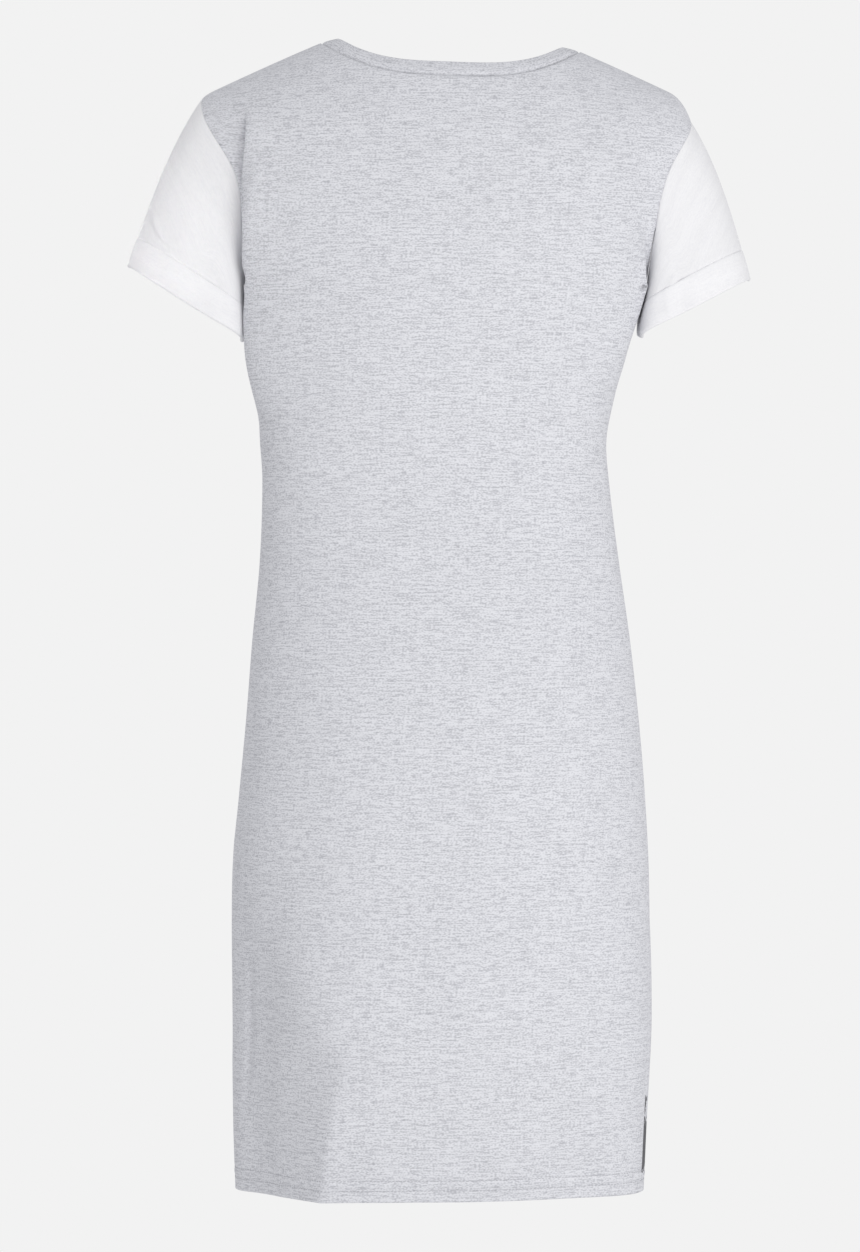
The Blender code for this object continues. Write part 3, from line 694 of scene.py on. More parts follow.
def neckband_grid():
    """Two rows: the neckline seam and the band's folded top edge."""
    back = neckline("back", np.linspace(0, math.pi, NECK_COLUMNS + 1))
    front = neckline("front", np.linspace(0, math.pi, NECK_COLUMNS + 1))
    seam = np.concatenate([back, front[-2:0:-1]])
    turn = 2 * math.pi * np.arange(len(seam)) / len(seam)
    behind, before = np.maximum(0.0, np.sin(turn)), np.maximum(0.0, -np.sin(turn))
    lean = BAND_LEAN_SIDE + behind * (BAND_LEAN_BACK - BAND_LEAN_SIDE)
    lean = np.radians(lean + before * (BAND_LEAN_FRONT - BAND_LEAN_SIDE))[:, None]
    around = np.roll(seam, -1, axis=0) - np.roll(seam, 1, axis=0)
    inward = unit(np.stack([around[:, 1], -around[:, 0], np.zeros(len(seam))], axis=-1))
    centre = seam.mean(axis=0)
    wrong = (inward * (centre - seam)).sum(axis=1) < 0
    inward[wrong] *= -1
    rise = inward * np.cos(lean) + np.array([0, 0, 1.0]) * np.sin(lean)
    return np.array([seam, seam + rise * BAND_WIDTH])


band = neckband_grid()
print("neckline seam length: %.0f mm" % np.linalg.norm(band[0] - np.roll(band[0], 1, axis=0), axis=1).sum())

# %% [markdown]
# Pieces that are sewn together face the same way along their seam, so the normals of neighbours
# are averaged there. Without this, two walls of cloth would cross or gape at the seam.

# %% Share the normals along the seams
FACING_ALIKE = -0.2
grids = {"back": (panels["back"], False), "front": (panels["front"], False), "neckband": (band, True)}
for side in sleeves:
    grids["sleeve_" + side] = (sleeves[side], True)


def border_cells(points, closed):
    rows, columns = points.shape[:2]
    cells = [(r, c) for r in (0, rows - 1) for c in range(columns)]
    if not closed:
        cells += [(r, c) for c in (0, columns - 1) for r in range(1, rows - 1)]
    return cells


def shared_normals():
    """Normals of every grid, averaged where the edges of grids meet and face alike."""
    own = {name: grid_normals(points, closed) for name, (points, closed) in grids.items()}
    meeting = defaultdict(list)
    for name, (points, closed) in grids.items():
        for r, c in border_cells(points, closed):
            meeting[tuple(np.round(points[r, c], 2))].append(own[name][r, c].copy())
    made = {name: normals.copy() for name, normals in own.items()}
    for name, (points, closed) in grids.items():
        for r, c in border_cells(points, closed):
            met = meeting[tuple(np.round(points[r, c], 2))]
            alike = [other for other in met if other @ own[name][r, c] > FACING_ALIKE]
            made[name][r, c] = unit(np.sum(alike, axis=0))
    return made


normals_of = shared_normals()
print("normals shared for", ", ".join(sorted(normals_of)))

# %% [markdown]
# The UV map lays each piece out flat, in metres along and across the cloth, so that the knit keeps
# its real size wherever the cloth bends. Blender can unwrap a mesh by itself, but its map would have
# no real scale and its courses would run askew.

# %% Lay the cloth out flat
LIES_BACK_FROM, LIES_BACK_AT = -110, -50


def flat_map(points, closed):
    """UV in metres: level distance from the middle column, and distance up the cloth.

    A panel's knit stays level up to the shoulders, where the cloth lies back over them.
    """
    level = np.linalg.norm(np.diff(points[..., :2], axis=1), axis=-1)
    u = np.concatenate([np.zeros((len(points), 1)), np.cumsum(level, axis=1)], axis=1)
    climb = np.diff(points[..., 2], axis=0)
    rise = np.linalg.norm(np.diff(points[..., 1:], axis=0), axis=-1) * np.sign(climb)
    if not closed:
        middle = points.shape[1] // 2
        u = u - u[:, middle : middle + 1]
        rise = climb + (rise - climb) * ease(LIES_BACK_FROM, LIES_BACK_AT, points[1:, :, 2])
    v = np.concatenate([np.zeros((1, points.shape[1])), np.cumsum(rise, axis=0)], axis=0)
    return np.stack([u, v], axis=-1) * MM


print("back panel laid flat, at its widest: %.3f m" % np.ptp(flat_map(panels["back"], False)[..., 0]))

# %% [markdown]
# Each grid becomes a closed wall of cloth: its outer skin, the same skin moved in by the cloth's
# thickness, and its edges. A seam edge rolls in a little, which draws the fine line that a sewn seam
# has. A Solidify modifier makes a wall too, but it can't thicken the hem, roll a seam or keep a gap.

# %% Helpers for the edges of the cloth


def edge_distance(points, seam_sides, seam_top, seam_bottom):
    """Distance in mm of each point to the nearest seam edge of its grid."""
    steps = np.linalg.norm(np.diff(points, axis=1), axis=-1)
    climbs = np.linalg.norm(np.diff(points, axis=0), axis=-1)
    distance = np.full(points.shape[:2], 1e3)
    if seam_sides:
        start = np.concatenate([np.zeros((len(points), 1)), np.cumsum(steps, axis=1)], axis=1)
        distance = np.minimum(distance, np.minimum(start, start[:, -1:] - start))
    up = np.concatenate([np.zeros((1, points.shape[1])), np.cumsum(climbs, axis=0)], axis=0)
    if seam_bottom:
        distance = np.minimum(distance, up)
    if seam_top:
        distance = np.minimum(distance, up[-1:] - up)
    return distance


def drawn_in(points, closed, top, bottom):
    """The grid with its seam edges moved in by half a seam gap."""
    made = points.copy()
    if not closed:
        made[:, 0] += unit(points[:, 1] - points[:, 0]) * SEAM_GAP / 2
        made[:, -1] += unit(points[:, -2] - points[:, -1]) * SEAM_GAP / 2
    if top:
        made[-1] += unit(points[-2] - points[-1]) * SEAM_GAP / 2
    if bottom:
        made[0] += unit(points[1] - points[0]) * SEAM_GAP / 2
    return made


print("sewn edges stand %.2f mm apart" % SEAM_GAP)

# %% [markdown]
# A mesh is a list of points and a list of faces that join them by number. The outer and the inner
# skin share one numbering, so that the edges between them are easy to close. A tube's first and last
# column lie on each other, because the UV map needs both, and they are welded at the end.

# %% Turn a grid into a wall of cloth
WELD_DISTANCE = 1e-7


def mesh_object(name, vertices, faces, uv_of_vertex, cloth):
    """A smooth-shaded object in metres with one UV map."""
    mesh = bpy.data.meshes.new(name)
    mesh.from_pydata((np.asarray(vertices) * MM).tolist(), [], faces)
    layer = mesh.uv_layers.new(name="cloth")
    loops = np.empty(len(mesh.loops), dtype=np.int32)
    mesh.loops.foreach_get("vertex_index", loops)
    layer.data.foreach_set("uv", np.asarray(uv_of_vertex, np.float32)[loops].ravel())
    mesh.shade_smooth()
    mesh.materials.append(cloth)
    made = bpy.data.objects.new(name, mesh)
    bpy.context.scene.collection.objects.link(made)
    return made


def weld(made):
    """Join a ring's first and last column, which share their place but not their UV."""
    bm = bmesh.new()
    bm.from_mesh(made.data)
    bmesh.ops.remove_doubles(bm, verts=bm.verts, dist=WELD_DISTANCE)
    bm.to_mesh(made.data)
    bm.free()


def cloth_wall(name, points, normals, thickness, closed, seam_top, seam_bottom, cloth, deep=0.0):
    """A closed wall of cloth from a grid, with rolled seam edges and a rounded free edge."""
    roll = SEAM_ROLL * np.exp(-edge_distance(points, not closed, seam_top, seam_bottom) / SEAM_ROLL_WIDTH)
    roll = roll + deep
    outer = drawn_in(points, closed, seam_top, seam_bottom) - normals * roll[..., None]
    inner = outer - normals * np.maximum(THINNEST, thickness[:, None] - ROLL_THINS * roll)[..., None]
    rows, columns = points.shape[:2]
    uv = flat_map(points, closed)
    if closed:
        outer, inner, uv = (np.concatenate([g, g[:, :1]], axis=1) for g in (outer, inner, uv))
        length = np.linalg.norm(points[:, 0, :2] - points[:, -1, :2], axis=-1) * MM
        uv[:, -1, 0] = uv[:, -2, 0] + length
        uv[:, -1, 1] = uv[:, 0, 1]
    grid_columns = outer.shape[1]
    free = 0 if not seam_bottom else rows - 1
    beyond = unit(points[free] - points[1 if free == 0 else rows - 2])
    if closed:
        beyond = np.concatenate([beyond, beyond[:1]])
    rounded_edge = (outer[free] + inner[free]) / 2 + beyond * (EDGE_ROUND * thickness[free])
    vertices = np.concatenate([outer.reshape(-1, 3), inner.reshape(-1, 3), rounded_edge])
    uvs = np.concatenate([uv.reshape(-1, 2), uv.reshape(-1, 2), uv[free]])
    index = np.arange(rows * grid_columns).reshape(rows, grid_columns)
    under = index + rows * grid_columns
    rim = np.arange(grid_columns) + 2 * rows * grid_columns
    faces = []
    for r in range(rows - 1):
        for skin, order in ((index, [0, 1, 2, 3]), (under, [0, 3, 2, 1])):
            quads = np.stack([skin[r, :-1], skin[r, 1:], skin[r + 1, 1:], skin[r + 1, :-1]], axis=1)
            faces += quads[:, order].tolist()
    for r in (0, rows - 1):
        flip = r != 0
        if r == free:
            strips = ((index[r], rim), (rim, under[r]))
        else:
            strips = ((index[r], under[r]),)
        for near, far in strips:
            quads = np.stack([near[:-1], far[:-1], far[1:], near[1:]], axis=1)
            faces += (quads[:, ::-1] if flip else quads).tolist()
    if not closed:
        for c in (0, grid_columns - 1):
            quads = np.stack([index[:-1, c], index[1:, c], under[1:, c], under[:-1, c]], axis=1)
            faces += (quads if c == 0 else quads[:, ::-1]).tolist()
        end_caps = [(index[free, 0], rim[0], under[free, 0]), (index[free, -1], under[free, -1], rim[-1])]
        faces += [list(map(int, cap)) for cap in end_caps]
    made = mesh_object(name, vertices, faces, uvs, cloth)
    if closed:
        weld(made)
    return made


print("thinnest cloth at a rolled edge: %.2f mm" % THINNEST)

# %% [markdown]
# Colours are written as sRGB hex values, as read off a screen, and turned to the linear values that
# a shader works with. One small function adds a shader node with its settings and links.

# %% Colour and node helpers


def linear(hex_colour):
    """An sRGB hex colour as the linear RGBA that shaders use."""
    channels = [int(hex_colour[i : i + 2], 16) / 255 for i in (1, 3, 5)]
    curve = [c / 12.92 if c <= 0.04045 else ((c + 0.055) / 1.055) ** 2.4 for c in channels]
    return (*curve, 1.0)


def add_node(tree, kind, inputs=None, **settings):
    """A node with its settings; an input is a value, or a socket to link from."""
    node = tree.nodes.new(kind)
    for key, value in settings.items():
        setattr(node, key, value)
    for key, value in (inputs or {}).items():
        if isinstance(value, bpy.types.NodeSocket):
            tree.links.new(value, node.inputs[key])
        else:
            node.inputs[key].default_value = value
    return node


print("light grey yarn in linear light:", [round(c, 3) for c in linear("#D9DADF")])

# %% [markdown]
# Heather grey jersey is single-knit cotton whose yarn is spun from pale and dark fibres. The eye
# sees short level streaks, because the yarn runs across the cloth in courses about 0.8 mm apart,
# and a dark fibre shows for a few millimetres before it sinks in. Noise that is stretched along the
# courses draws them. A photograph of cloth would show its edges where it repeats, and noise doesn't.
# A course is too fine to show at this distance, so the streaks are drawn up to two courses high.

# %% Streaks of yarn
Streak = namedtuple("Streak", "length height shift detail roughness", defaults=(0.0, 0.5))
STREAKS = {
    "long": Streak(24.0, 1.4, 3.1),
    "middling": Streak(7.0, 1.2, 17.9),
    "short": Streak(1.8, 1.0, 11.7),
    "fleck": Streak(8.0, 1.0, 41.9),
    "cloud": Streak(60.0, 9.0, 23.3, detail=2.0),
    "ragged": Streak(3.0, 3.0, 57.0, detail=3.0, roughness=0.6),
}
SHIFT_SLANT = 1.7


def streak_noise(tree, uv, kind):
    """Noise on the cloth's map, stretched to the length and height in mm of a row of STREAKS."""
    streak = STREAKS[kind]
    stretch = (1 / (streak.length * MM), 1 / (streak.height * MM), 1.0)
    shift = (streak.shift, streak.shift * SHIFT_SLANT, 0.0)
    place = add_node(tree, "ShaderNodeMapping", {"Vector": uv, "Scale": stretch, "Location": shift})
    noise = add_node(
        tree,
        "ShaderNodeTexNoise",
        {
            "Vector": place.outputs["Vector"],
            "Scale": 1.0,
            "Detail": streak.detail,
            "Roughness": streak.roughness,
        },
        noise_dimensions="2D",
    )
    return noise.outputs["Fac"]


print("kinds of streak:", ", ".join(STREAKS))

# %% [markdown]
# The three lengths of streak are mixed to one field, which a colour ramp turns to dark and pale
# yarn. A few darker flecks lie on top, and a broad faint cloud keeps the cloth from looking printed.

# %% Colour of the yarn
PALE_FROM = 0.72
FLECK_RANGE, FLECK_STRENGTH = (0.64, 0.78), 0.35
CLOUD_RANGE, CLOUD_STRENGTH = (0.3, 0.7), (0.985, 1.015)


def mixed_streaks(tree, uv):
    """The three lengths of streak as one field: half of it short, a quarter of it each other."""
    field = streak_noise(tree, uv, "long")
    for kind in ("middling", "short"):
        fields = {"Factor": 0.5, "A": field, "B": streak_noise(tree, uv, kind)}
        field = add_node(tree, "ShaderNodeMix", fields, data_type="FLOAT").outputs["Result"]
    return field


def yarn_colour(tree, uv, streaks, pale, dark, fleck, contrast):
    """The cloth's colour from its mixed streaks, with flecks and clouds."""
    ends = {"Value": streaks, "From Min": 0.5 - contrast, "From Max": 0.5 + contrast}
    level = add_node(tree, "ShaderNodeMapRange", ends)
    yarn = add_node(tree, "ShaderNodeValToRGB", {"Fac": level.outputs["Result"]})
    for element, colour, position in zip(yarn.color_ramp.elements, (dark, pale), (0.0, PALE_FROM)):
        element.color = linear(colour)
        element.position = position
    low, high = FLECK_RANGE
    ends = {"Value": streak_noise(tree, uv, "fleck"), "From Min": low, "From Max": high}
    flecks = add_node(tree, "ShaderNodeMapRange", {**ends, "To Max": FLECK_STRENGTH})
    colours = {"Factor": flecks.outputs["Result"], "A": yarn.outputs["Color"], "B": linear(fleck)}
    flecked = add_node(tree, "ShaderNodeMix", colours, data_type="RGBA")
    low, high = CLOUD_RANGE
    ends = {"Value": streak_noise(tree, uv, "cloud"), "From Min": low, "From Max": high}
    ends.update({"To Min": CLOUD_STRENGTH[0], "To Max": CLOUD_STRENGTH[1]})
    clouds = add_node(tree, "ShaderNodeMapRange", ends)
    shaded = {0: flecked.outputs["Result"], "Scale": clouds.outputs["Result"]}
    return add_node(tree, "ShaderNodeVectorMath", shaded, operation="SCALE").outputs["Vector"]


print("share of the ramp that is pale yarn: %.2f" % (1 - PALE_FROM))

# %% [markdown]
# Print is ink in the surface of the knit, so it follows the yarn and its edge is ragged. The front's
# points carry a field that is high inside a dab, and noise roughens where the ink begins.

# %% Ink on the knit
INK_RAGGED = 0.55
INK_RANGE, INK_STRENGTH = (0.5, 0.56), 0.92


def inked(tree, uv, colour, ink):
    """The cloth's colour with ink where the attribute named dabs is high."""
    field = add_node(tree, "ShaderNodeAttribute", attribute_name="dabs")
    terms = {0: streak_noise(tree, uv, "ragged"), 1: INK_RAGGED, 2: field.outputs["Fac"]}
    torn = add_node(tree, "ShaderNodeMath", terms, operation="MULTIPLY_ADD")
    ends = {"Value": torn.outputs["Value"], "From Min": INK_RANGE[0], "From Max": INK_RANGE[1]}
    covered = add_node(tree, "ShaderNodeMapRange", {**ends, "To Max": INK_STRENGTH})
    colours = {"Factor": covered.outputs["Result"], "A": colour, "B": linear(ink)}
    return add_node(tree, "ShaderNodeMix", colours, data_type="RGBA").outputs["Result"]


print("the ink covers", INK_STRENGTH, "of the yarn's colour")

# %% [markdown]
# The knit's stitches stand in upright ribs called wales, 0.9 mm apart. A wave texture draws them
# and a bump turns them to relief, together with the streaks. Modelled stitches would be millions of
# faces for something that shows as a faint grain. Cotton is matt, and its loose fibres give a weak
# sheen at grazing angles.

# %% Single jersey
WALE_SPACING = 0.9
# Blender's wave texture repeats every 2 pi / 20 at a scale of 1
WAVE_LENGTH = 2 * math.pi / 20
WALE_WANDER, WALE_RELIEF = 0.6, 0.35
BUMP_DEPTH = 0.4
COTTON = {
    "Roughness": 0.92,
    "Specular IOR Level": 0.18,
    "Sheen Weight": 0.08,
    "Sheen Roughness": 0.5,
}


def jersey(name, pale, dark, fleck, contrast, bump, ink=None):
    """Single jersey on the cloth's own UV map, which is in metres."""
    made = bpy.data.materials.new(name)
    made.use_nodes = True
    tree = made.node_tree
    shader = tree.nodes["Principled BSDF"]
    uv = add_node(tree, "ShaderNodeUVMap", uv_map="cloth").outputs["UV"]
    streaks = mixed_streaks(tree, uv)
    colour = yarn_colour(tree, uv, streaks, pale, dark, fleck, contrast)
    if ink:
        colour = inked(tree, uv, colour, ink)
    tree.links.new(colour, shader.inputs["Base Color"])
    ribs = {"Vector": uv, "Scale": WAVE_LENGTH / (WALE_SPACING * MM), "Distortion": WALE_WANDER}
    wales = add_node(tree, "ShaderNodeTexWave", ribs, wave_type="BANDS", bands_direction="X")
    terms = {0: wales.outputs["Fac"], 1: WALE_RELIEF, 2: streaks}
    relief = add_node(tree, "ShaderNodeMath", terms, operation="MULTIPLY_ADD")
    depth = {"Height": relief.outputs["Value"], "Strength": bump, "Distance": BUMP_DEPTH * MM}
    raised = add_node(tree, "ShaderNodeBump", depth)
    tree.links.new(raised.outputs["Normal"], shader.inputs["Normal"])
    for socket, value in COTTON.items():
        shader.inputs[socket].default_value = value
    return made


HEATHER_YARN = ("#D9DADF", "#BABBC1", "#94959D", 0.17, 0.35)
heather = jersey("heather_grey_single_jersey", *HEATHER_YARN)
heather_printed = jersey("heather_grey_single_jersey_printed", *HEATHER_YARN, ink="#404043")
white = jersey("white_single_jersey", "#E6E6E8", "#E2E2E5", "#DDDDE1", 0.2, 0.3)
# Doubled cloth lets less light through, so the cuffs come out a shade whiter
white_doubled = jersey("white_single_jersey_doubled", "#E9E9EB", "#E5E5E8", "#E0E0E4", 0.2, 0.3)
print("materials:", heather.name, heather_printed.name, white.name, white_doubled.name)

# %% [markdown]
# Sewing thread is spun polyester, smoother than the knit and close to its grey, so it gets a lower
# roughness. Its twist is far too fine to see here, and a fine noise between two greys stands for it.

# %% Thread material
thread = bpy.data.materials.new("grey_polyester_sewing_thread")
thread.use_nodes = True
thread_tree = thread.node_tree
thread_shader = thread_tree.nodes["Principled BSDF"]
thread_place = add_node(thread_tree, "ShaderNodeTexCoord")
TWIST = {"Vector": thread_place.outputs["Object"], "Scale": 900.0, "Detail": 1.0}
thread_noise = add_node(thread_tree, "ShaderNodeTexNoise", TWIST)
thread_ramp = add_node(thread_tree, "ShaderNodeValToRGB", {"Fac": thread_noise.outputs["Fac"]})
for element, grey in zip(thread_ramp.color_ramp.elements, ("#9C9DA3", "#B9BABF")):
    element.color = linear(grey)
thread_tree.links.new(thread_ramp.outputs["Color"], thread_shader.inputs["Base Color"])
thread_shader.inputs["Roughness"].default_value = 0.6
print("thread material:", thread.name)

# %% [markdown]
# The back and front panels. The hem is folded up inside, so the wall is twice as thick there. Its
# two lines of stitches dent it, and the cloth puffs up between them. The dents go into the grid
# before the wall is made, because a bump map alone would leave the hem's outline smooth.

# %% Back and front panels
DENT_DEPTH, DENT_WIDTH = 0.4, 1.1
PUFF_HEIGHT, PUFF_WIDTH = 0.25, 2.2


def hem_dents(points):
    """How deep the two lines of hem stitching pull the cloth in, in mm."""
    above = points[..., 2] + HEM_DROP
    dents = sum(DENT_DEPTH * np.exp(-(((above - row) / DENT_WIDTH) ** 2)) for row in STITCH_ROWS)
    between = (STITCH_ROWS[0] + STITCH_ROWS[1]) / 2
    return dents - PUFF_HEIGHT * np.exp(-(((above - between) / PUFF_WIDTH) ** 2))


def panel_piece(panel, cloth):
    points, normals = panels[panel], normals_of[panel]
    dented = points - normals * hem_dents(points)[..., None]
    drops = -points[:, 0, 2]
    thickness = np.where(drops >= HEM_DROP - HEM_ALLOWANCE, DOUBLED, JERSEY)
    columns = panel_columns(panel)
    by_neck = (columns >= SHOULDER_COLUMNS) & (columns <= COLUMNS - SHOULDER_COLUMNS)
    from_top = edge_distance(points, False, True, False)
    deep = (NECK_ROLL - SEAM_ROLL) * np.exp(-from_top / SEAM_ROLL_WIDTH) * by_neck
    return cloth_wall(panel + "_panel", dented, normals, thickness, False, True, False, cloth, deep)


back_panel = panel_piece("back", heather)
front_panel = panel_piece("front", heather_printed)
for piece in (back_panel, front_panel):
    print(piece.name, "faces:", len(piece.data.polygons))

# %% [markdown]
# At the side seam the photograph shows a sliver of dark print that belongs to the front. Its design
# is hidden, so a few plain brush dabs stand in for it. A dab is a soft field stored on the front's
# points: high at its middle and falling to its edge. Thin extra faces would lift off the knit, so
# the material inks the cloth itself where the field is high.

# %% Brush dabs on the front
Dab = namedtuple("Dab", "x drop half_width half_height lean")
DABS = (
    Dab(-161, 779, 4, 5, 0.2),
    Dab(-158, 843, 9, 9, -0.3),
    Dab(-153, 876, 20, 37, 0.0),
    Dab(-118, 858, 11, 17, -0.25),
    Dab(-126, 818, 9, 11, 0.3),
    Dab(-104, 884, 8, 9, 0.1),
)


def dab_field(points):
    """1 at a dab's middle, 0 on its edge, less beyond."""
    field = np.full(len(points), -1.0)
    for dab in DABS:
        dx = points[:, 0] - dab.x - dab.lean * (points[:, 2] + dab.drop)
        dz = points[:, 2] + dab.drop
        field = np.maximum(field, 1 - np.hypot(dx / dab.half_width, dz / dab.half_height))
    return field


front_points = np.empty(len(front_panel.data.vertices) * 3)
front_panel.data.vertices.foreach_get("co", front_points)
dabs = front_panel.data.attributes.new("dabs", "FLOAT", "POINT")
dabs.data.foreach_set("value", dab_field(front_points.reshape(-1, 3) / MM))
print("dabs:", len(DABS))

# %% [markdown]
# The sleeves are plain white jersey tubes, made by the same helper as the panels, with their ends
# joined round. Their free end is hidden under the cuff.

# %% Sleeves
sleeve_pieces = {}
for side in ("left", "right"):
    grid, normals = sleeves[side], normals_of["sleeve_" + side]
    thickness = np.full(len(grid), JERSEY)
    sleeve_pieces[side] = cloth_wall(
        "sleeve_cloth_" + side, grid, normals, thickness, True, False, True, white
    )
    print(sleeve_pieces[side].name, "faces:", len(sleeve_pieces[side].data.polygons))

# %% [markdown]
# A turned-up cuff is swept round the sleeve's end: its cross-section runs from under the sleeve's
# edge, round the fold and up the outside to a soft top edge. The cuff swells a little between its
# fold and its top, and it ripples slightly, as turned cloth does. A curve with a bevel profile could
# sweep it too, but it would not follow the sleeve's slanted, boxy end.

# %% Sections of a cuff
Ripple = namedtuple("Ripple", "height waves start")
RIPPLES = (Ripple(0.25, 5, 0.7), Ripple(0.18, 9, 2.0))
CUFF_SWELL = 0.5
SWELL_INSIDE, SWELL_OUTSIDE = 0.35, 0.3
# The turned edge below the sleeve's end: millimetres outwards, then down, from inside to outside
CUFF_FOLD = ((-1.1, 0.6), (-0.8, 1.4), (0.2, 2.1), (1.2, 1.9), (1.9, 1.0))
CORNER_DOWN = 0.6
LIP_RISE, LIP_SHOULDER, LIP_INSET = 0.6, 0.35, 0.25


def cuff_sections(side):
    """Cross-sections of the cuff, one for each sleeve line."""
    lines = lines_of[side]
    lengths = line_lengths(lines)[:, None]
    heights = CUFF_HEIGHT * np.arange(CUFF_STEPS + 1) / CUFF_STEPS
    rings = np.array([along_lines(lines, 1 - height / lengths[:, 0]) for height in heights])
    normals = grid_normals(rings, True)
    centre = rings.mean(axis=1, keepdims=True)
    if ((rings - centre) * normals).sum() < 0:
        normals = -normals
    rings = rings + normals * (crease_height("cuff_" + side, rings, normals) - CUFF_SINK)[..., None]
    end = SLEEVE_ENDS[side]
    across = unit(np.array([end.outer_x - end.inner_x, 0.0, end.inner_drop - end.outer_drop]))
    down = np.array([across[2], 0.0, -across[0]])
    down = down if down[2] < 0 else -down
    count = rings.shape[1]
    turn = 2 * math.pi * np.arange(count) / count
    ripple = sum(row.height * np.sin(row.waves * turn + row.start) for row in RIPPLES)
    swell = CUFF_SWELL * np.sin(math.pi * np.arange(CUFF_STEPS + 1) / CUFF_STEPS)
    sections = []
    for k in range(count):
        outside, inside = [], []
        for step in range(CUFF_STEPS + 1):
            wave = ripple[k] * step / CUFF_STEPS
            stand = CUFF_STAND_OFF + SWELL_INSIDE * swell[step] + max(0.0, wave)
            thick = CUFF_THICKNESS + SWELL_OUTSIDE * swell[step]
            inside.append(rings[step, k] + normals[step, k] * stand)
            outside.append(rings[step, k] + normals[step, k] * (stand + thick))
        edge, out = rings[0, k], normals[0, k]
        fold = [edge + out * outwards + down * below for outwards, below in CUFF_FOLD]
        lip_out, lip_in = outside[-1], inside[-1]
        up = unit(rings[-1, k] - rings[-2, k])
        lip = [
            lip_out + up * LIP_SHOULDER - out * LIP_INSET,
            (lip_out + lip_in) / 2 + up * LIP_RISE,
            lip_in + up * LIP_SHOULDER + out * LIP_INSET,
        ]
        corner = edge + out * CUFF_STAND_OFF + down * CORNER_DOWN
        sections.append([corner] + fold + outside + lip + inside[:0:-1])
    return np.array(sections)


print("points in a cuff's section:", len(cuff_sections("left")[0]))

# %% [markdown]
# The sections are joined one to the next into a closed ring. Rings that were swept the other way
# round come out with their faces turned in, which a negative volume shows, and they are turned back.

# %% Cuffs


def swept_ring(name, sections, cloth):
    """A closed ring made of closed cross-sections, with a UV map in metres."""
    count, corners = sections.shape[:2]
    ring = np.concatenate([sections, sections[:1]])
    loop = np.concatenate([ring, ring[:, :1]], axis=1)
    along = np.linalg.norm(np.diff(loop, axis=0), axis=-1).mean(axis=1)
    u = np.concatenate([[0.0], np.cumsum(along)])
    around = np.linalg.norm(np.diff(loop, axis=1), axis=-1)
    v = np.concatenate([np.zeros((count + 1, 1)), np.cumsum(around, axis=1)], axis=1)
    uv = np.stack([np.broadcast_to(u[:, None], v.shape), v], axis=-1) * MM
    index = np.arange((count + 1) * (corners + 1)).reshape(count + 1, corners + 1)
    a, b = index[:-1, :-1], index[:-1, 1:]
    c, d = index[1:, 1:], index[1:, :-1]
    faces = np.stack([a.ravel(), b.ravel(), c.ravel(), d.ravel()], axis=1).tolist()
    made = mesh_object(name, loop.reshape(-1, 3), faces, uv.reshape(-1, 2), cloth)
    weld(made)
    return made


def face_outwards(made):
    """Turn a closed piece's faces outwards when its volume comes out negative."""
    bm = bmesh.new()
    bm.from_mesh(made.data)
    if bm.calc_volume(signed=True) < 0:
        bmesh.ops.reverse_faces(bm, faces=bm.faces)
    bm.to_mesh(made.data)
    bm.free()


cuff_pieces = {}
for side in ("left", "right"):
    cuff_pieces[side] = swept_ring("cuff_cloth_" + side, cuff_sections(side), white_doubled)
    print(cuff_pieces[side].name, "faces:", len(cuff_pieces[side].data.polygons))

# %% [markdown]
# The neckband's cross-section is a flat loop: up the outside from the seam, round the fold at the
# top and down the inside. The outside swells a little between the seam and the fold, and its sewn
# edge rolls under, which draws the dark line round the neck. It is swept as the cuffs are.

# %% Neckband
BAND_STEPS = 8
BAND_PUFF = 0.35
# The fold at the top: millimetres below the top edge, then outwards, from outside to inside
BAND_FOLD = ((0.7, 0.02), (0.2, -0.35), (0.0, -1.0), (0.2, -1.65), (0.7, -2.0))


def band_sections():
    seam, top = band
    seam_normal, top_normal = normals_of["neckband"]
    rise = unit(top - seam)
    outside, inside = [], []
    for step in range(BAND_STEPS):
        s = step / BAND_STEPS
        place = seam + (top - seam) * s + rise * (SEAM_GAP / 2 if step == 0 else 0.0)
        normal = unit(seam_normal * (1 - s) + top_normal * s)
        puff = BAND_PUFF * math.sin(math.pi * s)
        roll = NECK_ROLL * math.exp(-s * BAND_WIDTH / SEAM_ROLL_WIDTH)
        outside.append(place + normal * (puff - roll))
        inside.append(place - normal * DOUBLED)
    fold = [top - rise * below + top_normal * outwards for below, outwards in BAND_FOLD]
    return np.stack(outside + fold + inside[::-1], axis=1)


neckband_piece = swept_ring("neckband_cloth", band_sections(), heather)
for piece in [neckband_piece, *cuff_pieces.values(), *sleeve_pieces.values(), back_panel, front_panel]:
    face_outwards(piece)
print(neckband_piece.name, "faces:", len(neckband_piece.data.polygons))

# %% [markdown]
# A T-shirt hem is sewn with a twin needle, which leaves two level rows of short straight stitches
# on the outside. Geometry Nodes set one small stitch at even steps along a curve that follows each
# row. Spacing, length and thickness are named inputs, so the same tree can sew any seam.

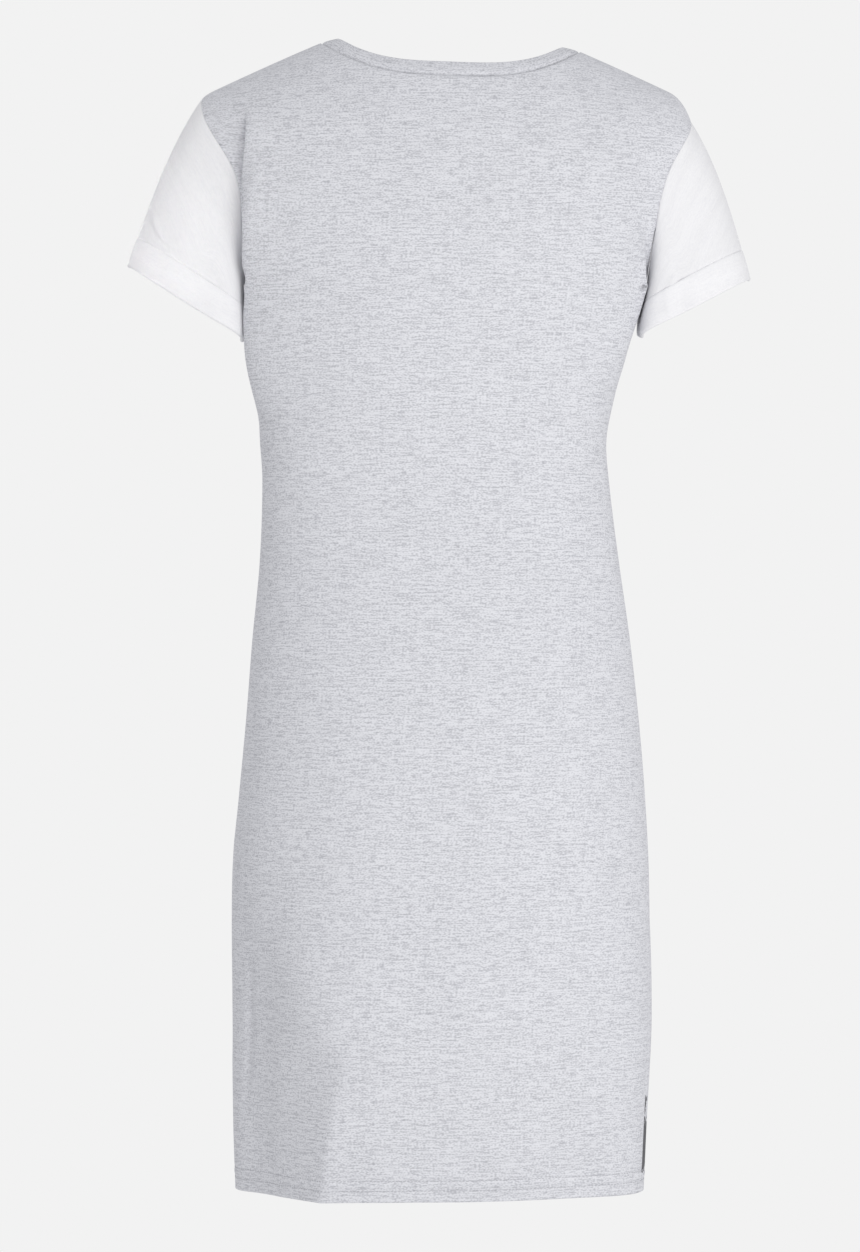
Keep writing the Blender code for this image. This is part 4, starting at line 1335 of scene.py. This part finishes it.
# %% Stitch tree
STITCH = {"Spacing": 2.9, "Stitch length": 2.3, "Thread thickness": 0.5}
BEAD = {"Segments": 6, "Rings": 4, "Radius": 0.5}
stitch_tree = bpy.data.node_groups.new("stitches_along_a_curve", "GeometryNodeTree")
stitch_tree.interface.new_socket("Curve", in_out="INPUT", socket_type="NodeSocketGeometry")
for socket_name, size in STITCH.items():
    socket = stitch_tree.interface.new_socket(socket_name, in_out="INPUT", socket_type="NodeSocketFloat")
    socket.default_value = size * MM
stitch_tree.interface.new_socket("Stitches", in_out="OUTPUT", socket_type="NodeSocketGeometry")
stitch_in = add_node(stitch_tree, "NodeGroupInput")
resampled = add_node(
    stitch_tree,
    "GeometryNodeResampleCurve",
    {"Curve": stitch_in.outputs["Curve"], "Length": stitch_in.outputs["Spacing"]},
    mode="LENGTH",
)
tangent = add_node(stitch_tree, "GeometryNodeInputTangent")
turned = add_node(
    stitch_tree, "FunctionNodeAlignRotationToVector", {"Vector": tangent.outputs["Tangent"]}, axis="Z"
)
bead = add_node(stitch_tree, "GeometryNodeMeshUVSphere", BEAD)
stitch_size = add_node(
    stitch_tree,
    "ShaderNodeCombineXYZ",
    {
        "X": stitch_in.outputs["Thread thickness"],
        "Y": stitch_in.outputs["Thread thickness"],
        "Z": stitch_in.outputs["Stitch length"],
    },
)
placed = add_node(
    stitch_tree,
    "GeometryNodeInstanceOnPoints",
    {
        "Points": resampled.outputs["Curve"],
        "Instance": bead.outputs["Mesh"],
        "Rotation": turned.outputs["Rotation"],
        "Scale": stitch_size.outputs["Vector"],
    },
)
real = add_node(stitch_tree, "GeometryNodeRealizeInstances", {"Geometry": placed.outputs["Instances"]})
threaded = add_node(
    stitch_tree, "GeometryNodeSetMaterial", {"Geometry": real.outputs["Geometry"], "Material": thread}
)
add_node(stitch_tree, "NodeGroupOutput", {"Stitches": threaded.outputs["Geometry"]})
print("stitch tree nodes:", len(stitch_tree.nodes))

# %% [markdown]
# Each stitch row is read off the dented panel at its height above the hem, lifted so that the
# thread lies half in the cloth. The evaluated result is turned into a plain mesh, because the
# exported model keeps no modifiers.

# %% Sew the hem
END_COLUMNS = 2
THREAD_LIFT = 0.1


def hem_line(panel, above):
    """Points on a panel's outside, a given height above the hem edge."""
    points, normals = panels[panel], normals_of[panel]
    dented = points - normals * hem_dents(points)[..., None]
    rows = -points[:, 0, 2]
    r = int(np.argmin(np.abs(rows - (HEM_DROP - above))))
    inner = slice(END_COLUMNS, -END_COLUMNS)
    return dented[r, inner] + normals[r, inner] * THREAD_LIFT


def sew(name, paths, sizes):
    """Stitches of the given sizes in mm along several paths, as one plain mesh."""
    curve = bpy.data.curves.new(name, "CURVE")
    curve.dimensions = "3D"
    for path in paths:
        spline = curve.splines.new("POLY")
        spline.points.add(len(path) - 1)
        spline.points.foreach_set("co", np.c_[path * MM, np.ones(len(path))].ravel())
    source = bpy.data.objects.new(name + "_path", curve)
    bpy.context.scene.collection.objects.link(source)
    modifier = source.modifiers.new("stitches", "NODES")
    modifier.node_group = stitch_tree
    for item in stitch_tree.interface.items_tree:
        if item.item_type == "SOCKET" and item.in_out == "INPUT" and item.name in sizes:
            modifier[item.identifier] = sizes[item.name] * MM
    evaluated = source.evaluated_get(bpy.context.evaluated_depsgraph_get())
    mesh = bpy.data.meshes.new_from_object(evaluated)
    mesh.name = name
    mesh.shade_smooth()
    bpy.data.objects.remove(source)
    made = bpy.data.objects.new(name, mesh)
    bpy.context.scene.collection.objects.link(made)
    return made


hem_stitches = {
    panel: sew("hem_stitches_" + panel, [hem_line(panel, above) for above in STITCH_ROWS], STITCH)
    for panel in ("back", "front")
}
for piece in hem_stitches.values():
    print(piece.name, "faces:", len(piece.data.polygons))

# %% [markdown]
# Every piece now rides on the root body and hides the imported node it stands for, and the size its
# cloth was cut to is printed beside the area that was built. A tube's cut is given all round.


def wall_area(made):
    """Half the surface of a closed wall, in square metres: about the cloth in it."""
    return sum(face.area for face in made.data.polygons) / 2


def declare(piece, node, flat, area):
    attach(piece, "root")
    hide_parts(node)
    print("%s: cut %.3f x %.3f m, %.4f m2 cut, %.4f m2 built" % (piece.name, *flat, area, wall_area(piece)))


for panel in ("back", "front"):
    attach(hem_stitches[panel], "root")
declare(
    back_panel, "back", (0.455, 0.935), 0.372,
)
declare(
    front_panel, "front", (0.470, 0.935), 0.378,
)
declare(neckband_piece, "neckband", (0.640, 0.016), 0.0092)
ArmCut = namedtuple("ArmCut", "sleeve_area cuff_length cuff_area")
ARM_CUTS = {"left": ArmCut(0.034, 0.375, 0.0096), "right": ArmCut(0.029, 0.355, 0.0091)}
for side, cut in ARM_CUTS.items():
    sleeve, cuff = sleeve_pieces[side], cuff_pieces[side]
    declare(
        sleeve, "sleeve_" + side, (0.400, 0.170), cut.sleeve_area,
    )
    cuff_flat = (cut.cuff_length, 0.026)
    declare(cuff, "cuff_" + side, cuff_flat, cut.cuff_area)

# %% [markdown]
# The studio. The dress hangs where its wearer would hold it, so the floor lies as far below as it
# would under a standing wearer. It is a round disc, so that it looks the same from every side.

# %% Floor
scene = bpy.context.scene
PAPER = "#F2F2F2"
FLOOR_REACH, FLOOR_LEVEL, FLOOR_SIDES = 2.4, -1.42, 128
floor_turns = [2 * math.pi * k / FLOOR_SIDES for k in range(FLOOR_SIDES)]
floor_rim = [(FLOOR_REACH * math.cos(a), FLOOR_REACH * math.sin(a), FLOOR_LEVEL) for a in floor_turns]
floor_mesh = bpy.data.meshes.new("studio_floor")
floor_mesh.from_pydata(floor_rim, [], [range(FLOOR_SIDES)])
floor = bpy.data.objects.new("studio_floor", floor_mesh)
scene.collection.objects.link(floor)
floor_paint = bpy.data.materials.new("pale_studio_floor")
floor_paint.use_nodes = True
floor_shader = floor_paint.node_tree.nodes["Principled BSDF"]
floor_shader.inputs["Base Color"].default_value = linear(PAPER)
floor_shader.inputs["Roughness"].default_value = 0.9
floor_mesh.materials.append(floor_paint)
print("floor: %.2f m below the origin" % -FLOOR_LEVEL)

# %% [markdown]
# A pale world lights the dress softly from all round. The camera sees the world in the backdrop's
# colour, while the cloth is lit by a slightly dimmer one, so that the white sleeves keep their shape.

# %% World
world = bpy.data.worlds.new("studio")
world.use_nodes = True
scene.world = world
world_tree = world.node_tree
backdrop = world_tree.nodes["Background"]
backdrop.inputs["Color"].default_value = linear(PAPER)
backdrop.inputs["Strength"].default_value = 1.0
soft_fill = add_node(world_tree, "ShaderNodeBackground", {"Color": linear("#F8F8F9"), "Strength": 0.80})
seen = add_node(world_tree, "ShaderNodeLightPath")
worlds = {0: seen.outputs["Is Camera Ray"], 1: soft_fill.outputs["Background"]}
worlds[2] = backdrop.outputs["Background"]
chosen = add_node(world_tree, "ShaderNodeMixShader", worlds)
world_tree.links.new(chosen.outputs["Shader"], world_tree.nodes["World Output"].inputs["Surface"])
print("world ready:", world.name)

# %% [markdown]
# A large soft key light stands on the camera's side, to the dress's right and level with its hem.
# Two weaker lights fill what it leaves: one high on the left, and one low down that is aimed at the
# skirt. The last is a narrow beam on the left sleeve, as a photographer would set with a snoot. Sun
# and spot lights would be simpler, but their hard shadows don't suit cloth that was lit so evenly.

# %% Lights
Lamp = namedtuple("Lamp", "name place target size power spread", defaults=(180.0,))
LAMPS = (
    Lamp("key", (-1.6, 3.0, -0.9), (0.0, 0.0, -0.45), (1.6, 2.0), 44.5),
    Lamp("left_fill", (1.5, 1.6, 1.5), (0.2, 0.0, -0.15), (1.2, 1.2), 3.5),
    Lamp("sleeve_snoot", (1.9, 1.9, 0.3), (0.235, 0.02, -0.15), (0.1, 0.1), 0.0095, spread=4.5),
    Lamp("low_fill", (-0.9, 2.4, -1.25), (-0.05, 0.0, -0.85), (1.0, 0.5), 2.6),
)
LAMP_COLOUR = "#FFFEFC"
for lamp in LAMPS:
    data = bpy.data.lights.new(lamp.name, "AREA")
    data.shape = "RECTANGLE"
    data.size, data.size_y = lamp.size
    data.energy = lamp.power
    data.spread = math.radians(lamp.spread)
    data.color = linear(LAMP_COLOUR)[:3]
    light = bpy.data.objects.new(lamp.name, data)
    light.location = lamp.place
    aim = Vector(lamp.target) - Vector(lamp.place)
    light.rotation_euler = aim.to_track_quat("-Z", "Y").to_euler()
    scene.collection.objects.link(light)
scene.view_settings.view_transform = "Standard"
scene.view_settings.look = "None"
scene.view_settings.exposure = 0.0
print("lights:", ", ".join(lamp.name for lamp in LAMPS))

# %% [markdown]
# The camera stands behind the dress at the height of its middle and looks level, as the photograph
# does, from 3.6 m away. The lens then follows from how large the dress is in the picture.

# %% Camera
PHOTO_WIDTH, PHOTO_HEIGHT = 860, 1252
SENSOR = 36.0
CAMERA_PLACE = (0.008, 3.6, -0.4648)
camera_data = bpy.data.cameras.new("camera")
camera_data.sensor_fit = "VERTICAL"
camera_data.sensor_height = SENSOR
camera_data.sensor_width = SENSOR * PHOTO_WIDTH / PHOTO_HEIGHT
camera_data.lens = 129.4
camera_data.clip_end = 50.0
camera = bpy.data.objects.new("camera", camera_data)
camera.location = CAMERA_PLACE
camera.rotation_euler = (math.radians(90), 0.0, math.radians(180))
scene.collection.objects.link(camera)
scene.camera = camera
print("lens: %.1f mm" % camera_data.lens)

# %% Finish
bpy.context.view_layer.update()
